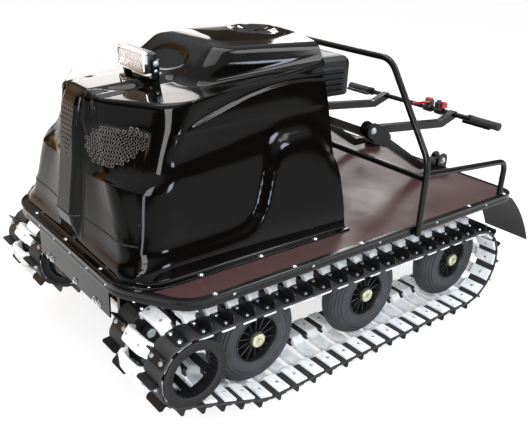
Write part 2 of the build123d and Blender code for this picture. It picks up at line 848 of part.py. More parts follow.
# Rear mudflaps, hung under the deck's edging
flap_top_y = deck_rear_y + trim_thickness
flap_top_z = deck_top - trim_height
flap_middle = (
    (flap_top_y + flap_rear_y) / 2 + flap_bulge / 2,
    (flap_top_z + flap_low_z) / 2 + flap_bulge,
)
with BuildPart() as mudflap:
    with BuildSketch(Plane.YZ.offset(flap_inner_x)):
        with BuildLine():
            outer = ThreePointArc((flap_top_y, flap_top_z), flap_middle, (flap_rear_y, flap_low_z))
            inner = ThreePointArc(
                (flap_top_y - flap_thickness, flap_top_z),
                (flap_middle[0] - flap_thickness, flap_middle[1] - flap_thickness / 2),
                (flap_rear_y - flap_thickness, flap_low_z),
            )
            Line(outer @ 0, inner @ 0)
            Line(outer @ 1, inner @ 1)
        make_face()
    extrude(amount=flap_outer_x - flap_inner_x)
save_pair(mudflap.part, "mudflap")

# Tow hitch under the rear cross member
with BuildPart() as hitch:
    hitch_front = rail_rear - rail_size
    hitch_rear = deck_rear_y + hitch_reach
    with BuildSketch(Plane.XY.offset(rail_low)) as hitch_face:
        with Locations((0, (hitch_front + hitch_rear) / 2)):
            Rectangle(hitch_width, hitch_rear - hitch_front)
        fillet(hitch_face.vertices().group_by(Axis.Y)[-1], hitch_width / 3)
        with Locations((0, hitch_rear - hitch_width / 3)):
            Circle(hitch_bore / 2, mode=Mode.SUBTRACT)
    extrude(amount=-hitch_plate)
save(hitch.part, "tow_hitch")


def draw_bar(points, size):
    """Add a bar of a given depth along a few points of the open sketch's plane, rounded at each point."""
    for (start_u, start_v), (end_u, end_v) in zip(points, points[1:]):
        run = hypot(end_u - start_u, end_v - start_v)
        turn = degrees(atan2(end_v - start_v, end_u - start_u))
        with Locations(Location(((start_u + end_u) / 2, (start_v + end_v) / 2), turn)):
            Rectangle(run, size)
    with Locations(*points):
        draw_round(size / 2, shaft_flats, inside=True)


# Folding handle: brackets on the deck, lower arms, then upper arms with the bar
lower_width = arm_size + 2 * cheek_gap
lower_heading = atan2(arm_bend_z - elbow_z, arm_bend_y - elbow_y)
tube_start = 3 * arm_size
tube_start_yz = (elbow_y + tube_start * cos(lower_heading), elbow_z + tube_start * sin(lower_heading))
cheek_offset = lower_width / 2 + cheek_thickness / 2

with BuildPart() as fold_brackets:
    for side in (1, -1):
        for hand in (1, -1):
            plate_x = side * arm_x + hand * (cheek_offset + cheek_gap)
            with BuildSketch(Plane.YZ.offset(plate_x - cheek_thickness / 2)):
                with Locations((fold_y, fold_z)):
                    draw_round(cheek_radius, shaft_flats)
                with Locations((fold_y, (fold_z + deck_top) / 2)):
                    Rectangle(2 * cheek_radius, fold_z - deck_top)
            extrude(amount=cheek_thickness)
        pin_half = cheek_offset + cheek_gap + cheek_thickness / 2
        with BuildSketch(Plane.YZ.offset(side * arm_x - pin_half)):
            with Locations((fold_y, fold_z)):
                draw_round(pin_radius, shaft_flats)
        extrude(amount=2 * pin_half)
save(fold_brackets.part, "fold_brackets")

with BuildPart() as lower_arm:
    with BuildSketch(Plane.YZ.offset(arm_x - lower_width / 2)):
        draw_bar(((fold_y, fold_z), (arm_bend_y, arm_bend_z), tube_start_yz), arm_size)
        with Locations((fold_y, fold_z)):
            draw_round(pin_radius + shoe_seat, shaft_flats, Mode.SUBTRACT)
    extrude(amount=lower_width)
    for hand in (1, -1):
        with BuildSketch(Plane.YZ.offset(arm_x + hand * cheek_offset - cheek_thickness / 2)):
            draw_bar((tube_start_yz, (elbow_y, elbow_z)), 2 * cheek_radius)
        extrude(amount=cheek_thickness)
    pin_half = cheek_offset + cheek_thickness / 2
    with BuildSketch(Plane.YZ.offset(arm_x - pin_half)):
        with Locations((elbow_y, elbow_z)):
            draw_round(pin_radius, shaft_flats)
    extrude(amount=2 * pin_half)
save_pair(lower_arm.part, "lower_arm")

with BuildPart() as arm_cross_tube:
    tube_half = arm_x - cheek_offset - cheek_thickness / 2
    with BuildSketch(Plane.YZ.offset(-tube_half)):
        with Locations(Location(tube_start_yz, degrees(lower_heading))):
            Rectangle(arm_size, arm_size)
    extrude(amount=2 * tube_half)
save(arm_cross_tube.part, "arm_cross_tube")

with BuildPart() as upper_arm:
    with BuildSketch(Plane.YZ.offset(arm_x - arm_size / 2)):
        draw_bar(((elbow_y, elbow_z), (upper_bend_y, upper_bend_z), (bar_y, bar_z)), arm_size)
        with Locations((elbow_y, elbow_z)):
            draw_round(pin_radius + shoe_seat, shaft_flats, Mode.SUBTRACT)
        with Locations((bar_y, bar_z)):
            draw_round(bar_radius, shaft_flats, Mode.SUBTRACT)
    extrude(amount=arm_size)
save_pair(upper_arm.part, "upper_arm")

bar_end = bar_half_width - grip_length
bar_plane = Plane(origin=(0, bar_y, bar_z), x_dir=(0, 1, 0), z_dir=(1, 0, 0))
with BuildPart() as handlebar:
    with BuildSketch(bar_plane.offset(-bar_end)):
        draw_round(bar_radius, shaft_flats)
    extrude(amount=2 * bar_end)
save(handlebar.part, "handlebar")

with BuildPart() as grip:
    with BuildSketch(bar_plane.offset(bar_end)):
        draw_round(grip_radius, shaft_flats)
    extrude(amount=grip_length)
save_pair(grip.part, "grip")

# Brake levers, throttle and switch, clamped round the bar
clamp_radius = bar_radius + 6
control_rows = (
    # name, x, width, reach along -Y, reach along Z
    ("throttle", 60.0, 40.0, 36.0, 30.0),
    ("stop_switch", 120.0, 44.0, 26.0, 34.0),
)
for name, control_x, width, reach_y, reach_z in control_rows:
    with BuildPart() as control:
        with BuildSketch(bar_plane.offset(control_x - width / 2)):
            draw_round(clamp_radius, shaft_flats)
            with Locations((-reach_y / 2, reach_z / 2)):
                Rectangle(reach_y, reach_z)
            draw_round(bar_radius + shoe_seat, shaft_flats, Mode.SUBTRACT)
        extrude(amount=width)
    save(control.part, name)

with BuildPart() as brake_lever:
    clamp_x = bar_end - lever_clamp - shoe_seat
    with BuildSketch(bar_plane.offset(clamp_x)):
        draw_round(clamp_radius, shaft_flats)
        with Locations((-lever_reach / 2, -lever_size / 2)):
            Rectangle(lever_reach, lever_size)
        draw_round(bar_radius + shoe_seat, shaft_flats, Mode.SUBTRACT)
    extrude(amount=lever_clamp)
    with BuildSketch(Plane.XY.offset(bar_z - lever_size)):
        with Locations((clamp_x + lever_length / 2, bar_y - lever_reach + lever_size / 2)):
            Rectangle(lever_length, lever_size)
    extrude(amount=lever_size)
save_pair(brake_lever.part, "brake_lever")
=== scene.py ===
"""Looks of the tracked snow tug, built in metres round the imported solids."""

import math

import bpy
import numpy as np
from mathutils import Matrix, Vector


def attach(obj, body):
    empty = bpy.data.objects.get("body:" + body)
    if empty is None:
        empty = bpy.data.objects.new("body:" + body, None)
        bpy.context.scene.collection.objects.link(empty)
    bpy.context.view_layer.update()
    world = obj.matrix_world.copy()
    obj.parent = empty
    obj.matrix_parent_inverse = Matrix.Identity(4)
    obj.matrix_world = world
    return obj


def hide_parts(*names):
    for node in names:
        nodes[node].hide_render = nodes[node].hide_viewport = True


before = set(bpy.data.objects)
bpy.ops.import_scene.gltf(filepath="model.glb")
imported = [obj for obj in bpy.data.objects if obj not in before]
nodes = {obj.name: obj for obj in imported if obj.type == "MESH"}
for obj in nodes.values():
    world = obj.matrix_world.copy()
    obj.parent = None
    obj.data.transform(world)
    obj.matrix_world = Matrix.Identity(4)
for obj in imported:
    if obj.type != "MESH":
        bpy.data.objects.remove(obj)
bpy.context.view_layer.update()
MM = 0.001


# Materials

def linear(hex_code):
    """Linear RGBA of an sRGB hex value."""
    shares = [int(hex_code[i:i + 2], 16) / 255 for i in (1, 3, 5)]
    return tuple(c / 12.92 if c <= 0.04045 else ((c + 0.055) / 1.055) ** 2.4 for c in shares) + (1.0,)


def put(tree, kind, settings=None, inputs=None, **attributes):
    """Add a node, set its input values and attributes, and link the sockets that are given to it."""
    node = tree.nodes.new(kind)
    for key, value in attributes.items():
        setattr(node, key, value)
    for key, value in (settings or {}).items():
        node.inputs[key].default_value = value
    for key, socket in (inputs or {}).items():
        tree.links.new(socket, node.inputs[key])
    return node


NOISE = "ShaderNodeTexNoise"
CELLS = "ShaderNodeTexVoronoi"


def finish(name, colour=None, gloss=None, relief=None, tones_at=(0.3, 0.7), **sockets):
    """A material whose colour, roughness and relief follow textures of a real size in object space.

    colour is (texture, dark, light), gloss is (texture, lowest, highest) and relief is (texture, depth in
    mm, strength). A texture is its node, the size in mm that it repeats over, and its other settings.
    """
    material = bpy.data.materials.new(name)
    material.use_nodes = True
    tree = material.node_tree
    shader = tree.nodes["Principled BSDF"]
    for key, value in sockets.items():
        shader.inputs[key.replace("_", " ")].default_value = value
    fields = []
    for layer in (colour, gloss, relief):
        if layer:
            kind, size_mm, settings = layer[0]
            place = put(tree, "ShaderNodeTexCoord").outputs["Object"]
            texture = put(tree, kind, {"Scale": 1000 / size_mm, **settings}, {"Vector": place})
            fields.append(texture.outputs[0])
        else:
            fields.append(None)
    if colour:
        ramp = put(tree, "ShaderNodeValToRGB", None, {"Fac": fields[0]})
        for element, share, tone in zip(ramp.color_ramp.elements, tones_at, colour[1:]):
            element.position = share
            element.color = linear(tone)
        tree.links.new(ramp.outputs["Color"], shader.inputs["Base Color"])
    if gloss:
        limits = {"To Min": gloss[1], "To Max": gloss[2]}
        spread = put(tree, "ShaderNodeMapRange", limits, {"Value": fields[1]})
        tree.links.new(spread.outputs["Result"], shader.inputs["Roughness"])
    if relief:
        depth = {"Strength": relief[2], "Distance": relief[1] * MM}
        bump = put(tree, "ShaderNodeBump", depth, {"Height": fields[2]})
        tree.links.new(bump.outputs["Normal"], shader.inputs["Normal"])
    return material


# Vacuum-formed ABS with its gloss cap layer: deep black, with a slow waviness that bends reflections a little
gloss_abs = finish(
    "gloss_black_abs_vacuum_formed", ((NOISE, 120, {"Detail": 2.0}), "#030303", "#070605"),
    ((NOISE, 35, {"Detail": 5.0}), 0.05, 0.11), ((NOISE, 120, {"Detail": 2.0}), 0.3, 0.25), IOR=1.25,
)

# Film-faced birch plywood: brown phenol film, smooth, with a faint paper mottle and scuffs
PAPER = (NOISE, 9, {"Detail": 6.0, "Roughness": 0.65})
film_plywood = finish(
    "film_faced_plywood_pressed", (PAPER, "#2f1c1b", "#3f2927"),
    ((NOISE, 60, {"Detail": 5.0}), 0.3, 0.55), (PAPER, 0.12, 0.5), IOR=1.42,
)

# Steel under black powder coat: even satin black with a fine orange peel
PEEL = (NOISE, 4, {"Detail": 3.0})
powder_coat = finish(
    "steel_black_powder_coat", ((NOISE, 50, {}), "#060606", "#0d0d0d"),
    (PEEL, 0.16, 0.28), (PEEL, 0.1, 0.5), IOR=1.5, Specular_IOR_Level=0.25,
)

# Conveyor belting: dull black rubber over fabric, whose weave shows faintly, drawn at 3 mm to be seen
belt_rubber = finish(
    "conveyor_belt_rubber_calendered", ((NOISE, 22, {"Detail": 5.0}), "#1b1b1c", "#28282a"),
    ((NOISE, 14, {}), 0.55, 0.8), ((CELLS, 3, {}), 0.35, 0.6), IOR=1.52,
)

# Track lugs cut from steel angle and brushed with enamel: uneven black, half matt and slightly rough
lug_paint = finish(
    "angle_steel_black_enamel", ((NOISE, 18, {"Detail": 4.0}), "#0c0c0d", "#1a1a1b"),
    None, ((NOISE, 2.5, {}), 0.12, 0.5), Roughness=0.38, IOR=1.5, Specular_IOR_Level=0.25,
)

# Cast polyethylene: waxy cold white with faint grey scuffs
white_poly = finish(
    "white_polyethylene_cast", ((NOISE, 30, {"Detail": 8.0, "Roughness": 0.7}), "#cfd6d8", "#eef1f2"),
    ((NOISE, 12, {"Detail": 4.0}), 0.3, 0.5), ((NOISE, 6, {"Detail": 4.0}), 0.12, 0.4), (0.32, 0.5),
    IOR=1.51, Subsurface_Weight=0.06, Subsurface_Scale=0.004,
)

# Tyre rubber: bluish grey from its bloom, matt
BLOOM = (NOISE, 40, {"Detail": 6.0})
tyre_rubber = finish(
    "tyre_rubber_vulcanised", (BLOOM, "#26282b", "#383b3f"),
    (BLOOM, 0.5, 0.72), ((NOISE, 2.5, {}), 0.15, 0.5), IOR=1.52,
)

# Glass-filled nylon of the rims: black, satin, faintly grained
black_nylon = finish(
    "black_nylon_injection_moulded", ((NOISE, 25, {}), "#0d0d0e", "#171719"),
    None, ((NOISE, 1.5, {"Detail": 2.0}), 0.08, 0.5), Roughness=0.4, IOR=1.53,
)

# Turned polyamide of the drums: charcoal black, with a fine uneven grain left by the tool
polyamide = finish(
    "black_polyamide_turned", ((NOISE, 30, {"Detail": 4.0}), "#0d0d0e", "#161617"),
    None, ((NOISE, 3, {}), 0.1, 0.5), Roughness=0.5, IOR=1.5, Specular_IOR_Level=0.25,
)

# Zinc-plated bolts: bright bluish silver, cloudy
CLOUD = (NOISE, 6, {"Detail": 3.0})
zinc_bright = finish(
    "steel_zinc_plated_bright", (CLOUD, "#aab2b8", "#d8dfe3"), (CLOUD, 0.2, 0.36), Metallic=1.0
)

# Yellow-passivated zinc of the hub discs: pale greenish cream
HAZE = (NOISE, 12, {"Detail": 4.0})
zinc_yellow = finish(
    "steel_zinc_yellow_passivated", (HAZE, "#b9b795", "#dad9bd"), (HAZE, 0.28, 0.45), Metallic=0.85
)

# Oiled roller chain: grey steel darkened by oil
chain_steel = finish(
    "roller_chain_steel_oiled", ((NOISE, 8, {"Detail": 4.0}), "#4c4843", "#857f77"),
    Metallic=0.9, Roughness=0.38,
)

# Sheet rubber of the mudflaps: smooth black with a slight sheen
sheet_rubber = finish(
    "sheet_rubber_black_pressed", ((NOISE, 40, {"Detail": 4.0}), "#080808", "#101011"),
    None, ((NOISE, 8, {}), 0.2, 0.4), Roughness=0.5, IOR=1.5, Specular_IOR_Level=0.2,
)

# Polypropylene of the engine shroud, moulded in a textured tool: matt bluish black with a leathery grain
shroud_plastic = finish(
    "black_polypropylene_textured", ((NOISE, 30, {}), "#0b0c0e", "#14171a"),
    None, ((NOISE, 1.2, {}), 0.1, 0.6), Roughness=0.42, IOR=1.49, Specular_IOR_Level=0.35,
)

# Engine castings under heat-proof black paint: dull charcoal over a sandy cast surface
engine_paint = finish(
    "cast_aluminium_black_heat_paint", ((NOISE, 12, {"Detail": 5.0}), "#121213", "#1f1f20"),
    None, ((NOISE, 2, {}), 0.25, 0.6), Roughness=0.6, IOR=1.5,
)

# Pressed and chromed lamp reflector: a bright mirror, a little clouded
lamp_chrome = finish(
    "steel_reflector_chromed", ((NOISE, 10, {}), "#d9dee3", "#f2f5f7"), Metallic=1.0, Roughness=0.12
)

# Pressed glass of the lamp: clear and glossy, with its light broken up by the flutes
lamp_glass = finish(
    "lamp_glass_pressed", Base_Color=linear("#f2f6f8"), Roughness=0.04, IOR=1.5, Transmission_Weight=0.92
)

# Soft moulded rubber of the grips: dull dark grey that hardly shines
grip_rubber = finish(
    "soft_grip_rubber_moulded", ((NOISE, 10, {}), "#131314", "#1f1f21"),
    None, ((NOISE, 1.5, {}), 0.15, 0.6), Roughness=0.72, IOR=1.5,
)

# Coloured ABS of the small controls: clear red and blue with a soft gloss
red_abs = finish("red_abs_moulded", ((NOISE, 8, {}), "#8f1210", "#b01d18"), Roughness=0.35, IOR=1.5)
blue_abs = finish("blue_abs_moulded", ((NOISE, 8, {}), "#16346f", "#22489a"), Roughness=0.35, IOR=1.5)

# Black lacquered sheet behind the hood's openings: its colour is lightened to a dark warm grey as a painted
# highlight on its rims, which also glint from their gloss
mesh_wire_painted_highlight = finish(
    "steel_mesh_black_lacquer_painted_highlight", ((NOISE, 6, {}), "#3a3734", "#5a5652"), Roughness=0.2, IOR=1.6
)


# Mesh helpers

MIRROR = Matrix.Diagonal((-1, 1, 1, 1))


def at(*spot):
    """A place moved to a spot."""
    return Matrix.Translation(spot)


def rotated(degrees, axis):
    """A place turned about an axis."""
    return Matrix.Rotation(math.radians(degrees), 4, axis)


class Stock:
    """Vertices and faces of one piece, gathered from many small forms."""

    def __init__(self, *forms):
        self.verts = []
        self.faces = []
        for form in forms:
            self.add(form)

    def add(self, form, place=Matrix()):
        """Take in a form, moved to its place."""
        verts, faces = form
        first = len(self.verts)
        self.verts += [place @ Vector(v) for v in verts]
        flip = place.determinant() < 0
        for face in faces:
            shifted = [first + i for i in face]
            self.faces.append(shifted[::-1] if flip else shifted)

    def piece(self, name, material, body="chassis", slot=None, replaces=(), smooth=35.0):
        """Make the object, give it its finish and let it ride on its body."""
        mesh = bpy.data.meshes.new(name)
        mesh.from_pydata(self.verts, [], self.faces)
        mesh.update()
        made = bpy.data.objects.new(name, mesh)
        bpy.context.scene.collection.objects.link(made)
        dress(made, material, smooth)
        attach(made, body)
        if replaces:
            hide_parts(*replaces)

    def mirrored(self):
        """The same forms on the other side of the tug."""
        other = Stock()
        other.add((self.verts, self.faces), MIRROR)
        return other


def both_sides(*stocks):
    """The stocks of the left side, and their mirror images for the right."""
    return ("left", stocks), ("right", [stock.mirrored() for stock in stocks])


def dress(made, material, smooth=35.0):
    """Give an object one material, and smooth shading up to an angle."""
    made.data.materials.clear()
    made.data.materials.append(material)
    made.data.set_sharp_from_angle(angle=math.radians(smooth))
    for face in made.data.polygons:
        face.use_smooth = True


def strip_faces(rows, columns, closed_rows=False, closed_columns=False, first=0):
    """Quads of a grid of vertices, with rows or columns joined end to end where asked."""
    faces = []
    for r in range(rows if closed_rows else rows - 1):
        for c in range(columns if closed_columns else columns - 1):
            a = first + r * columns + c
            b = first + r * columns + (c + 1) % columns
            d = first + (r + 1) % rows * columns + c
            e = first + (r + 1) % rows * columns + (c + 1) % columns
            faces.append((a, b, e, d))
    return faces


def capped(rows, columns, first=0):
    """Faces of a tube of closed rows with both ends filled in."""
    faces = strip_faces(rows, columns, closed_columns=True, first=first)
    faces.append(tuple(range(first + columns - 1, first - 1, -1)))
    faces.append(tuple(range(first + (rows - 1) * columns, first + rows * columns)))
    return faces


def turned(profile, segments=64, closed=False):
    """A form turned about the X axis from (radius, x) points."""
    verts = []
    for step in range(segments):
        angle = 2 * math.pi * step / segments
        for radius, x in profile:
            verts.append((x, radius * math.cos(angle), radius * math.sin(angle)))
    faces = strip_faces(segments, len(profile), closed_rows=True, closed_columns=closed)
    return verts, faces


def cut_section(half, low, high, edge):
    """A rectangle from -half to half and from low to high, with its corners cut by edge."""
    lean = edge if high > low else -edge
    return (
        (-half + edge, low), (half - edge, low), (half, low + lean), (half, high - lean),
        (half - edge, high), (-half + edge, high), (-half, high - lean), (-half, low + lean),
    )


def rounded_block(width, depth, height, edge):
    """A block centred on its base, with its edges cut at 45 degrees by edge."""
    verts = []
    for inset, z in ((edge, 0), (0, edge), (0, height - edge), (edge, height)):
        reach = depth / 2 - inset
        verts += [(x, y, z) for x, y in cut_section(width / 2 - inset, -reach, reach, edge)]
    return verts, capped(4, 8)


def bolt_head(radius, height, sides=6):
    """A bolt head on its washer, standing on Z = 0."""
    profile = (
        (1.35 * radius, 0.0), (1.35 * radius, 0.16 * height), (1.05 * radius, 0.18 * height),
        (radius, 0.25 * height), (radius, 0.85 * height), (0.86 * radius, height),
        (0.45 * radius, height * 1.02),
    )
    steps = sides * 3
    verts = []
    for step in range(steps):
        angle = 2 * math.pi * step / steps
        for row, (r, z) in enumerate(profile):
            flat = 1.0
            if 2 <= row <= 5 and step % 3:
                flat = math.cos(math.pi / sides) / math.cos(math.pi / sides / 3)
            verts.append((r * flat * math.cos(angle), r * flat * math.sin(angle), z))
    faces = strip_faces(steps, len(profile), closed_rows=True)
    faces.append(tuple(step * len(profile) + len(profile) - 1 for step in range(steps)))
    return verts, faces


def dome_head(radius, height):
    """A round-headed bolt, standing on Z = 0."""
    profile = [(1.25 * radius, 0.0), (1.25 * radius, 0.12 * height)]
    profile += [
        (radius * math.cos(a), 0.12 * height + 0.88 * height * math.sin(a))
        for a in (0, 0.35, 0.7, 1.05, 1.35)
    ]
    verts = []
    for step in range(16):
        angle = math.pi * step / 8
        verts += [(r * math.cos(angle), r * math.sin(angle), z) for r, z in profile]
    faces = strip_faces(16, len(profile), closed_rows=True)
    faces.append(tuple(step * len(profile) + len(profile) - 1 for step in range(16)))
    return verts, faces


def facing(spot, out, along=(0, 0, 1)):
    """A place at a spot, whose Z points out and whose X lies near along."""
    z = Vector(out).normalized()
    x = Vector(along) - z * Vector(along).dot(z)
    if x.length < 1e-6:
        x = Vector((0, 1, 0)) - z * z.y
    x.normalize()
    y = z.cross(x)
    return at(*spot) @ Matrix((x, y, z)).transposed().to_4x4()


def bar_along(points, radius, sides=16):
    """A round bar along points."""
    points = [Vector(p) for p in points]
    verts = []
    side = None
    for index, spot in enumerate(points):
        ahead = points[min(index + 1, len(points) - 1)] - points[max(index - 1, 0)]
        ahead.normalize()
        if side is None:
            side = ahead.orthogonal().normalized()
        side = (side - ahead * side.dot(ahead)).normalized()
        other = ahead.cross(side)
        for step in range(sides):
            angle = 2 * math.pi * step / sides
            verts.append(spot + radius * (side * math.cos(angle) + other * math.sin(angle)))
    return verts, capped(len(points), sides)


# Running gear and tubes: the sizes of the solids, in metres
WHEEL_ROWS = (-0.478, 0.022, 0.522)
WHEEL_X = 0.421
AXLE_Z = 0.186
BELT_RADIUS = 0.159
DRUM = (-0.783, 0.250, 0.113)
BELT_WIDTH = 0.085
BELT_GAP = 0.122
SHOE_COUNT = 46
SHOE_HALF = 0.0225
DRUM_AXIS = at(0, DRUM[0], DRUM[1])
TUBE_RADIUS = 0.011


def shoe_stations():
    """Each shoe's (y, z, direction out of the loop), evenly spaced along the belt's outer face."""
    circles = (
        (WHEEL_ROWS[0], AXLE_Z, BELT_RADIUS),
        (WHEEL_ROWS[2], AXLE_Z, BELT_RADIUS),
        DRUM,
    )
    outs = []
    for index, (y, z, radius) in enumerate(circles):
        next_y, next_z, next_radius = circles[(index + 1) % 3]
        heading = math.atan2(next_z - z, next_y - y)
        reach = math.hypot(next_y - y, next_z - z)
        outs.append(heading - math.acos((radius - next_radius) / reach))
    runs = []
    for index, (y, z, radius) in enumerate(circles):
        next_y, next_z, next_radius = circles[(index + 1) % 3]
        across = Vector((math.cos(outs[index]), math.sin(outs[index])))
        start = Vector((y, z)) + radius * across
        end = Vector((next_y, next_z)) + next_radius * across
        sweep = (outs[(index + 1) % 3] - outs[index]) % (2 * math.pi)
        runs.append((start, end, Vector((next_y, next_z)), next_radius, outs[index], sweep))
    lengths = [(end - start).length + radius * sweep for start, end, _, radius, _, sweep in runs]
    pitch = sum(lengths) / SHOE_COUNT
    rows = []
    for index in range(SHOE_COUNT):
        along = (index + 0.5) * pitch
        for (start, end, centre, radius, out, sweep), length in zip(runs, lengths):
            if along < length:
                break
            along -= length
        line = (end - start).length
        if along < line:
            spot = start + (end - start) * (along / line)
        else:
            out += (along - line) / radius
            spot = centre + radius * Vector((math.cos(out), math.sin(out)))
        rows.append((spot.x, spot.y, out))
    return rows


STATIONS = shoe_stations()


def station_place(y, z, out):
    """A shoe's place: X across the tug, Y along the belt, Z out of the loop."""
    ahead = Vector((0, -math.sin(out), math.cos(out)))
    outward = Vector((0, math.cos(out), math.sin(out)))
    across = Vector((1, 0, 0))
    place = Matrix((across, -ahead, outward)).transposed().to_4x4()
    return at(WHEEL_X, y, z) @ place


def belt_band(centre_x):
    """One belt: flat over each shoe, bent smoothly between shoes."""
    half = SHOE_HALF
    spine = []
    count = len(STATIONS)
    for index, (y, z, out) in enumerate(STATIONS):
        ahead = Vector((-math.sin(out), math.cos(out)))
        spot = Vector((y, z))
        spine += [(spot - half * ahead, out), (spot, out), (spot + half * ahead, out)]
        next_y, next_z, next_out = STATIONS[(index + 1) % count]
        next_ahead = Vector((-math.sin(next_out), math.cos(next_out)))
        start = spot + half * ahead
        end = Vector((next_y, next_z)) - half * next_ahead
        reach = (end - start).length * 0.4
        turn = (next_out - out + math.pi) % (2 * math.pi) - math.pi
        for share in (0.25, 0.5, 0.75):
            a, b = 1 - share, share
            middle = (
                a ** 3 * start + 3 * a * a * b * (start + reach * ahead)
                + 3 * a * b * b * (end - reach * next_ahead) + b ** 3 * end
            )
            spine.append((middle, out + turn * share))
    thick = 0.007
    section = cut_section(BELT_WIDTH / 2, 0, -thick, 0.0012)
    verts = []
    for spot, out in spine:
        for x, rise in section:
            verts.append((centre_x + x, spot.x + rise * math.cos(out), spot.y + rise * math.sin(out)))
    return verts, strip_faces(len(spine), len(section), closed_rows=True, closed_columns=True)


def saddle_rise(x):
    """The shoe's inner face across the track: flat on the belts, dished between them for the tyre."""
    reach = abs(x)
    share = min(max((BELT_GAP / 2 + 0.001 - reach) / 0.024, 0.0), 1.0)
    dish = share * share * (3 - 2 * share)
    crown = 0.0020 * max(0.0, 1 - (reach / 0.04) ** 2)
    return -0.0170 + (0.0213 + crown) * dish


def shoe_depth(x):
    """The shoe's thickness across the track: a pad on the belts, a block between them."""
    return 0.0095 + 0.0100 * min(max((0.0590 - abs(x)) / 0.008, 0.0), 1.0)


def shoe_form():
    """One white shoe: a pad on each belt and the dished strip between, with rounded edges."""
    edge = 0.0022
    columns = [-0.142, -0.1405, -0.120, -0.085, -0.066]
    columns += [-0.062 + 0.0031 * step for step in range(41)]
    columns += [0.066, 0.085, 0.120, 0.1405, 0.142]
    verts = []
    for index, x in enumerate(columns):
        tip = index in (0, len(columns) - 1)
        thick = shoe_depth(x)
        section = cut_section(SHOE_HALF, 0, thick, edge)
        slope = (saddle_rise(x + 0.001) - saddle_rise(x - 0.001)) / 0.002
        lean = Vector((-slope, 1.0)).normalized()
        base = saddle_rise(x)
        for along, rise in section:
            rise = min(max(rise, edge), thick - edge) if tip else rise
            verts.append((x + lean.x * rise, along, base + lean.y * rise))
    return verts, capped(len(columns), 8)


def lug_form():
    """One lug: a length of angle with a rounded foot flat on the belt and an upright leg."""
    wide = BELT_WIDTH / 2 - 0.001
    plate = 0.0035
    foot = 0.034
    tall = 0.027
    bend = 0.014
    cut = 0.006
    seat = 0.0003
    verts = []
    # Foot, with its free corners rounded
    outline = [(-wide, 0.0), (wide, 0.0)]
    turns = (0, 0.4, 0.8, 1.2, math.pi / 2)
    outline += [(wide - bend + bend * math.cos(a), -foot + bend - bend * math.sin(a)) for a in turns]
    outline += [(-wide + bend - bend * math.sin(a), -foot + bend - bend * math.cos(a)) for a in turns]
    shift = foot / 2
    for rise in (seat, plate):
        verts += [(x, y + shift, rise) for x, y in outline]
    # Upright leg, with a cut at each outer corner
    leg = [
        (-wide, seat), (wide, seat), (wide, tall - cut), (wide - cut, tall), (-wide + cut, tall),
        (-wide, tall - cut)
    ]
    faces = capped(2, len(outline)) + capped(2, len(leg), first=len(verts))
    for along in (shift - plate, shift):
        verts += [(x, along, rise) for x, rise in leg]
    return verts, [face[::-1] for face in faces]


belts = Stock()
shoes = Stock()
lugs = Stock()
track_bolts = Stock()
belt_offsets = (BELT_GAP / 2 + BELT_WIDTH / 2, -BELT_GAP / 2 - BELT_WIDTH / 2)
for offset in belt_offsets:
    belts.add(belt_band(WHEEL_X + offset))
shoe = shoe_form()
lug = lug_form()
lug_bolt = bolt_head(0.0062, 0.0052)
pad_bolt = dome_head(0.0045, 0.0022)
for y, z, out in STATIONS:
    place = station_place(y, z, out)
    shoes.add(shoe, place)
    for offset in belt_offsets:
        lugs.add(lug, place @ at(offset, 0, 0))
        for bolt_x in (-0.024, 0.024):
            track_bolts.add(lug_bolt, place @ at(offset + bolt_x, -0.002, 0.0035))
        inside = at(offset, 0, -0.0170) @ rotated(180, "X")
        track_bolts.add(pad_bolt, place @ inside)
    for bolt_x in (-0.034, 0.034):
        track_bolts.add(pad_bolt, place @ at(bolt_x, 0, saddle_rise(bolt_x) + 0.0193))

for side, (belt_set, shoe_set, lug_set, bolt_set) in both_sides(belts, shoes, lugs, track_bolts):
    belt_set.piece(f"track_belts_{side}", belt_rubber, slot="belt_rubber", replaces=(f"track_{side}",))
    shoe_set.piece(f"track_shoes_{side}", white_poly, slot="shoe_plastic")
    lug_set.piece(f"track_lugs_{side}", lug_paint, slot="black_steel", smooth=25.0)
    bolt_set.piece(f"track_bolts_{side}", zinc_bright, slot="zinc_steel", smooth=25.0)


# Road wheels
def tyre_form():
    """A ribbed implement tyre: a plain wall, then ribs round the shoulder and crown."""
    half = [
        (0.0825, 0.040), (0.0855, 0.0420), (0.0885, 0.0425), (0.0910, 0.0415), (0.0930, 0.0425),
        (0.1010, 0.0458), (0.1090, 0.0476)
    ]
    for rib in range(6):
        for turn, depth in (
            (1.5, 0.0032), (2.5, 0.0006), (3.5, 0.0), (11.0, 0.0), (12.0, 0.0006), (13.0, 0.0032)
        ):
            angle = math.radians(6 + 14 * rib + turn)
            half.append((0.112 + (0.053 - depth) * math.sin(angle), (0.0478 - depth) * math.cos(angle)))
    return turned(half + [(radius, -x) for radius, x in reversed(half)], 96, closed=True)


def rim_forms():
    """The moulded rim: a barrel with lips, thin spokes and a hub."""
    barrel = turned((
        (0.0810, 0.0400), (0.0835, 0.0420), (0.0825, 0.0435), (0.0790, 0.0425), (0.0765, 0.0390),
        (0.0760, 0.0100), (0.0745, -0.0050), (0.0760, -0.0200), (0.0765, -0.0390), (0.0790, -0.0425),
        (0.0825, -0.0435), (0.0835, -0.0420), (0.0810, -0.0400), (0.0795, 0.0),
    ), 72, closed=True)
    hub = turned((
        (0.0125, 0.0405), (0.0250, 0.0405), (0.0285, 0.0385), (0.0300, 0.0340), (0.0300, -0.0340),
        (0.0285, -0.0385), (0.0125, -0.0405),
    ), 48, closed=True)
    spoke = rounded_block(0.0030, 0.052, 0.052, 0.0010)
    return barrel, hub, spoke


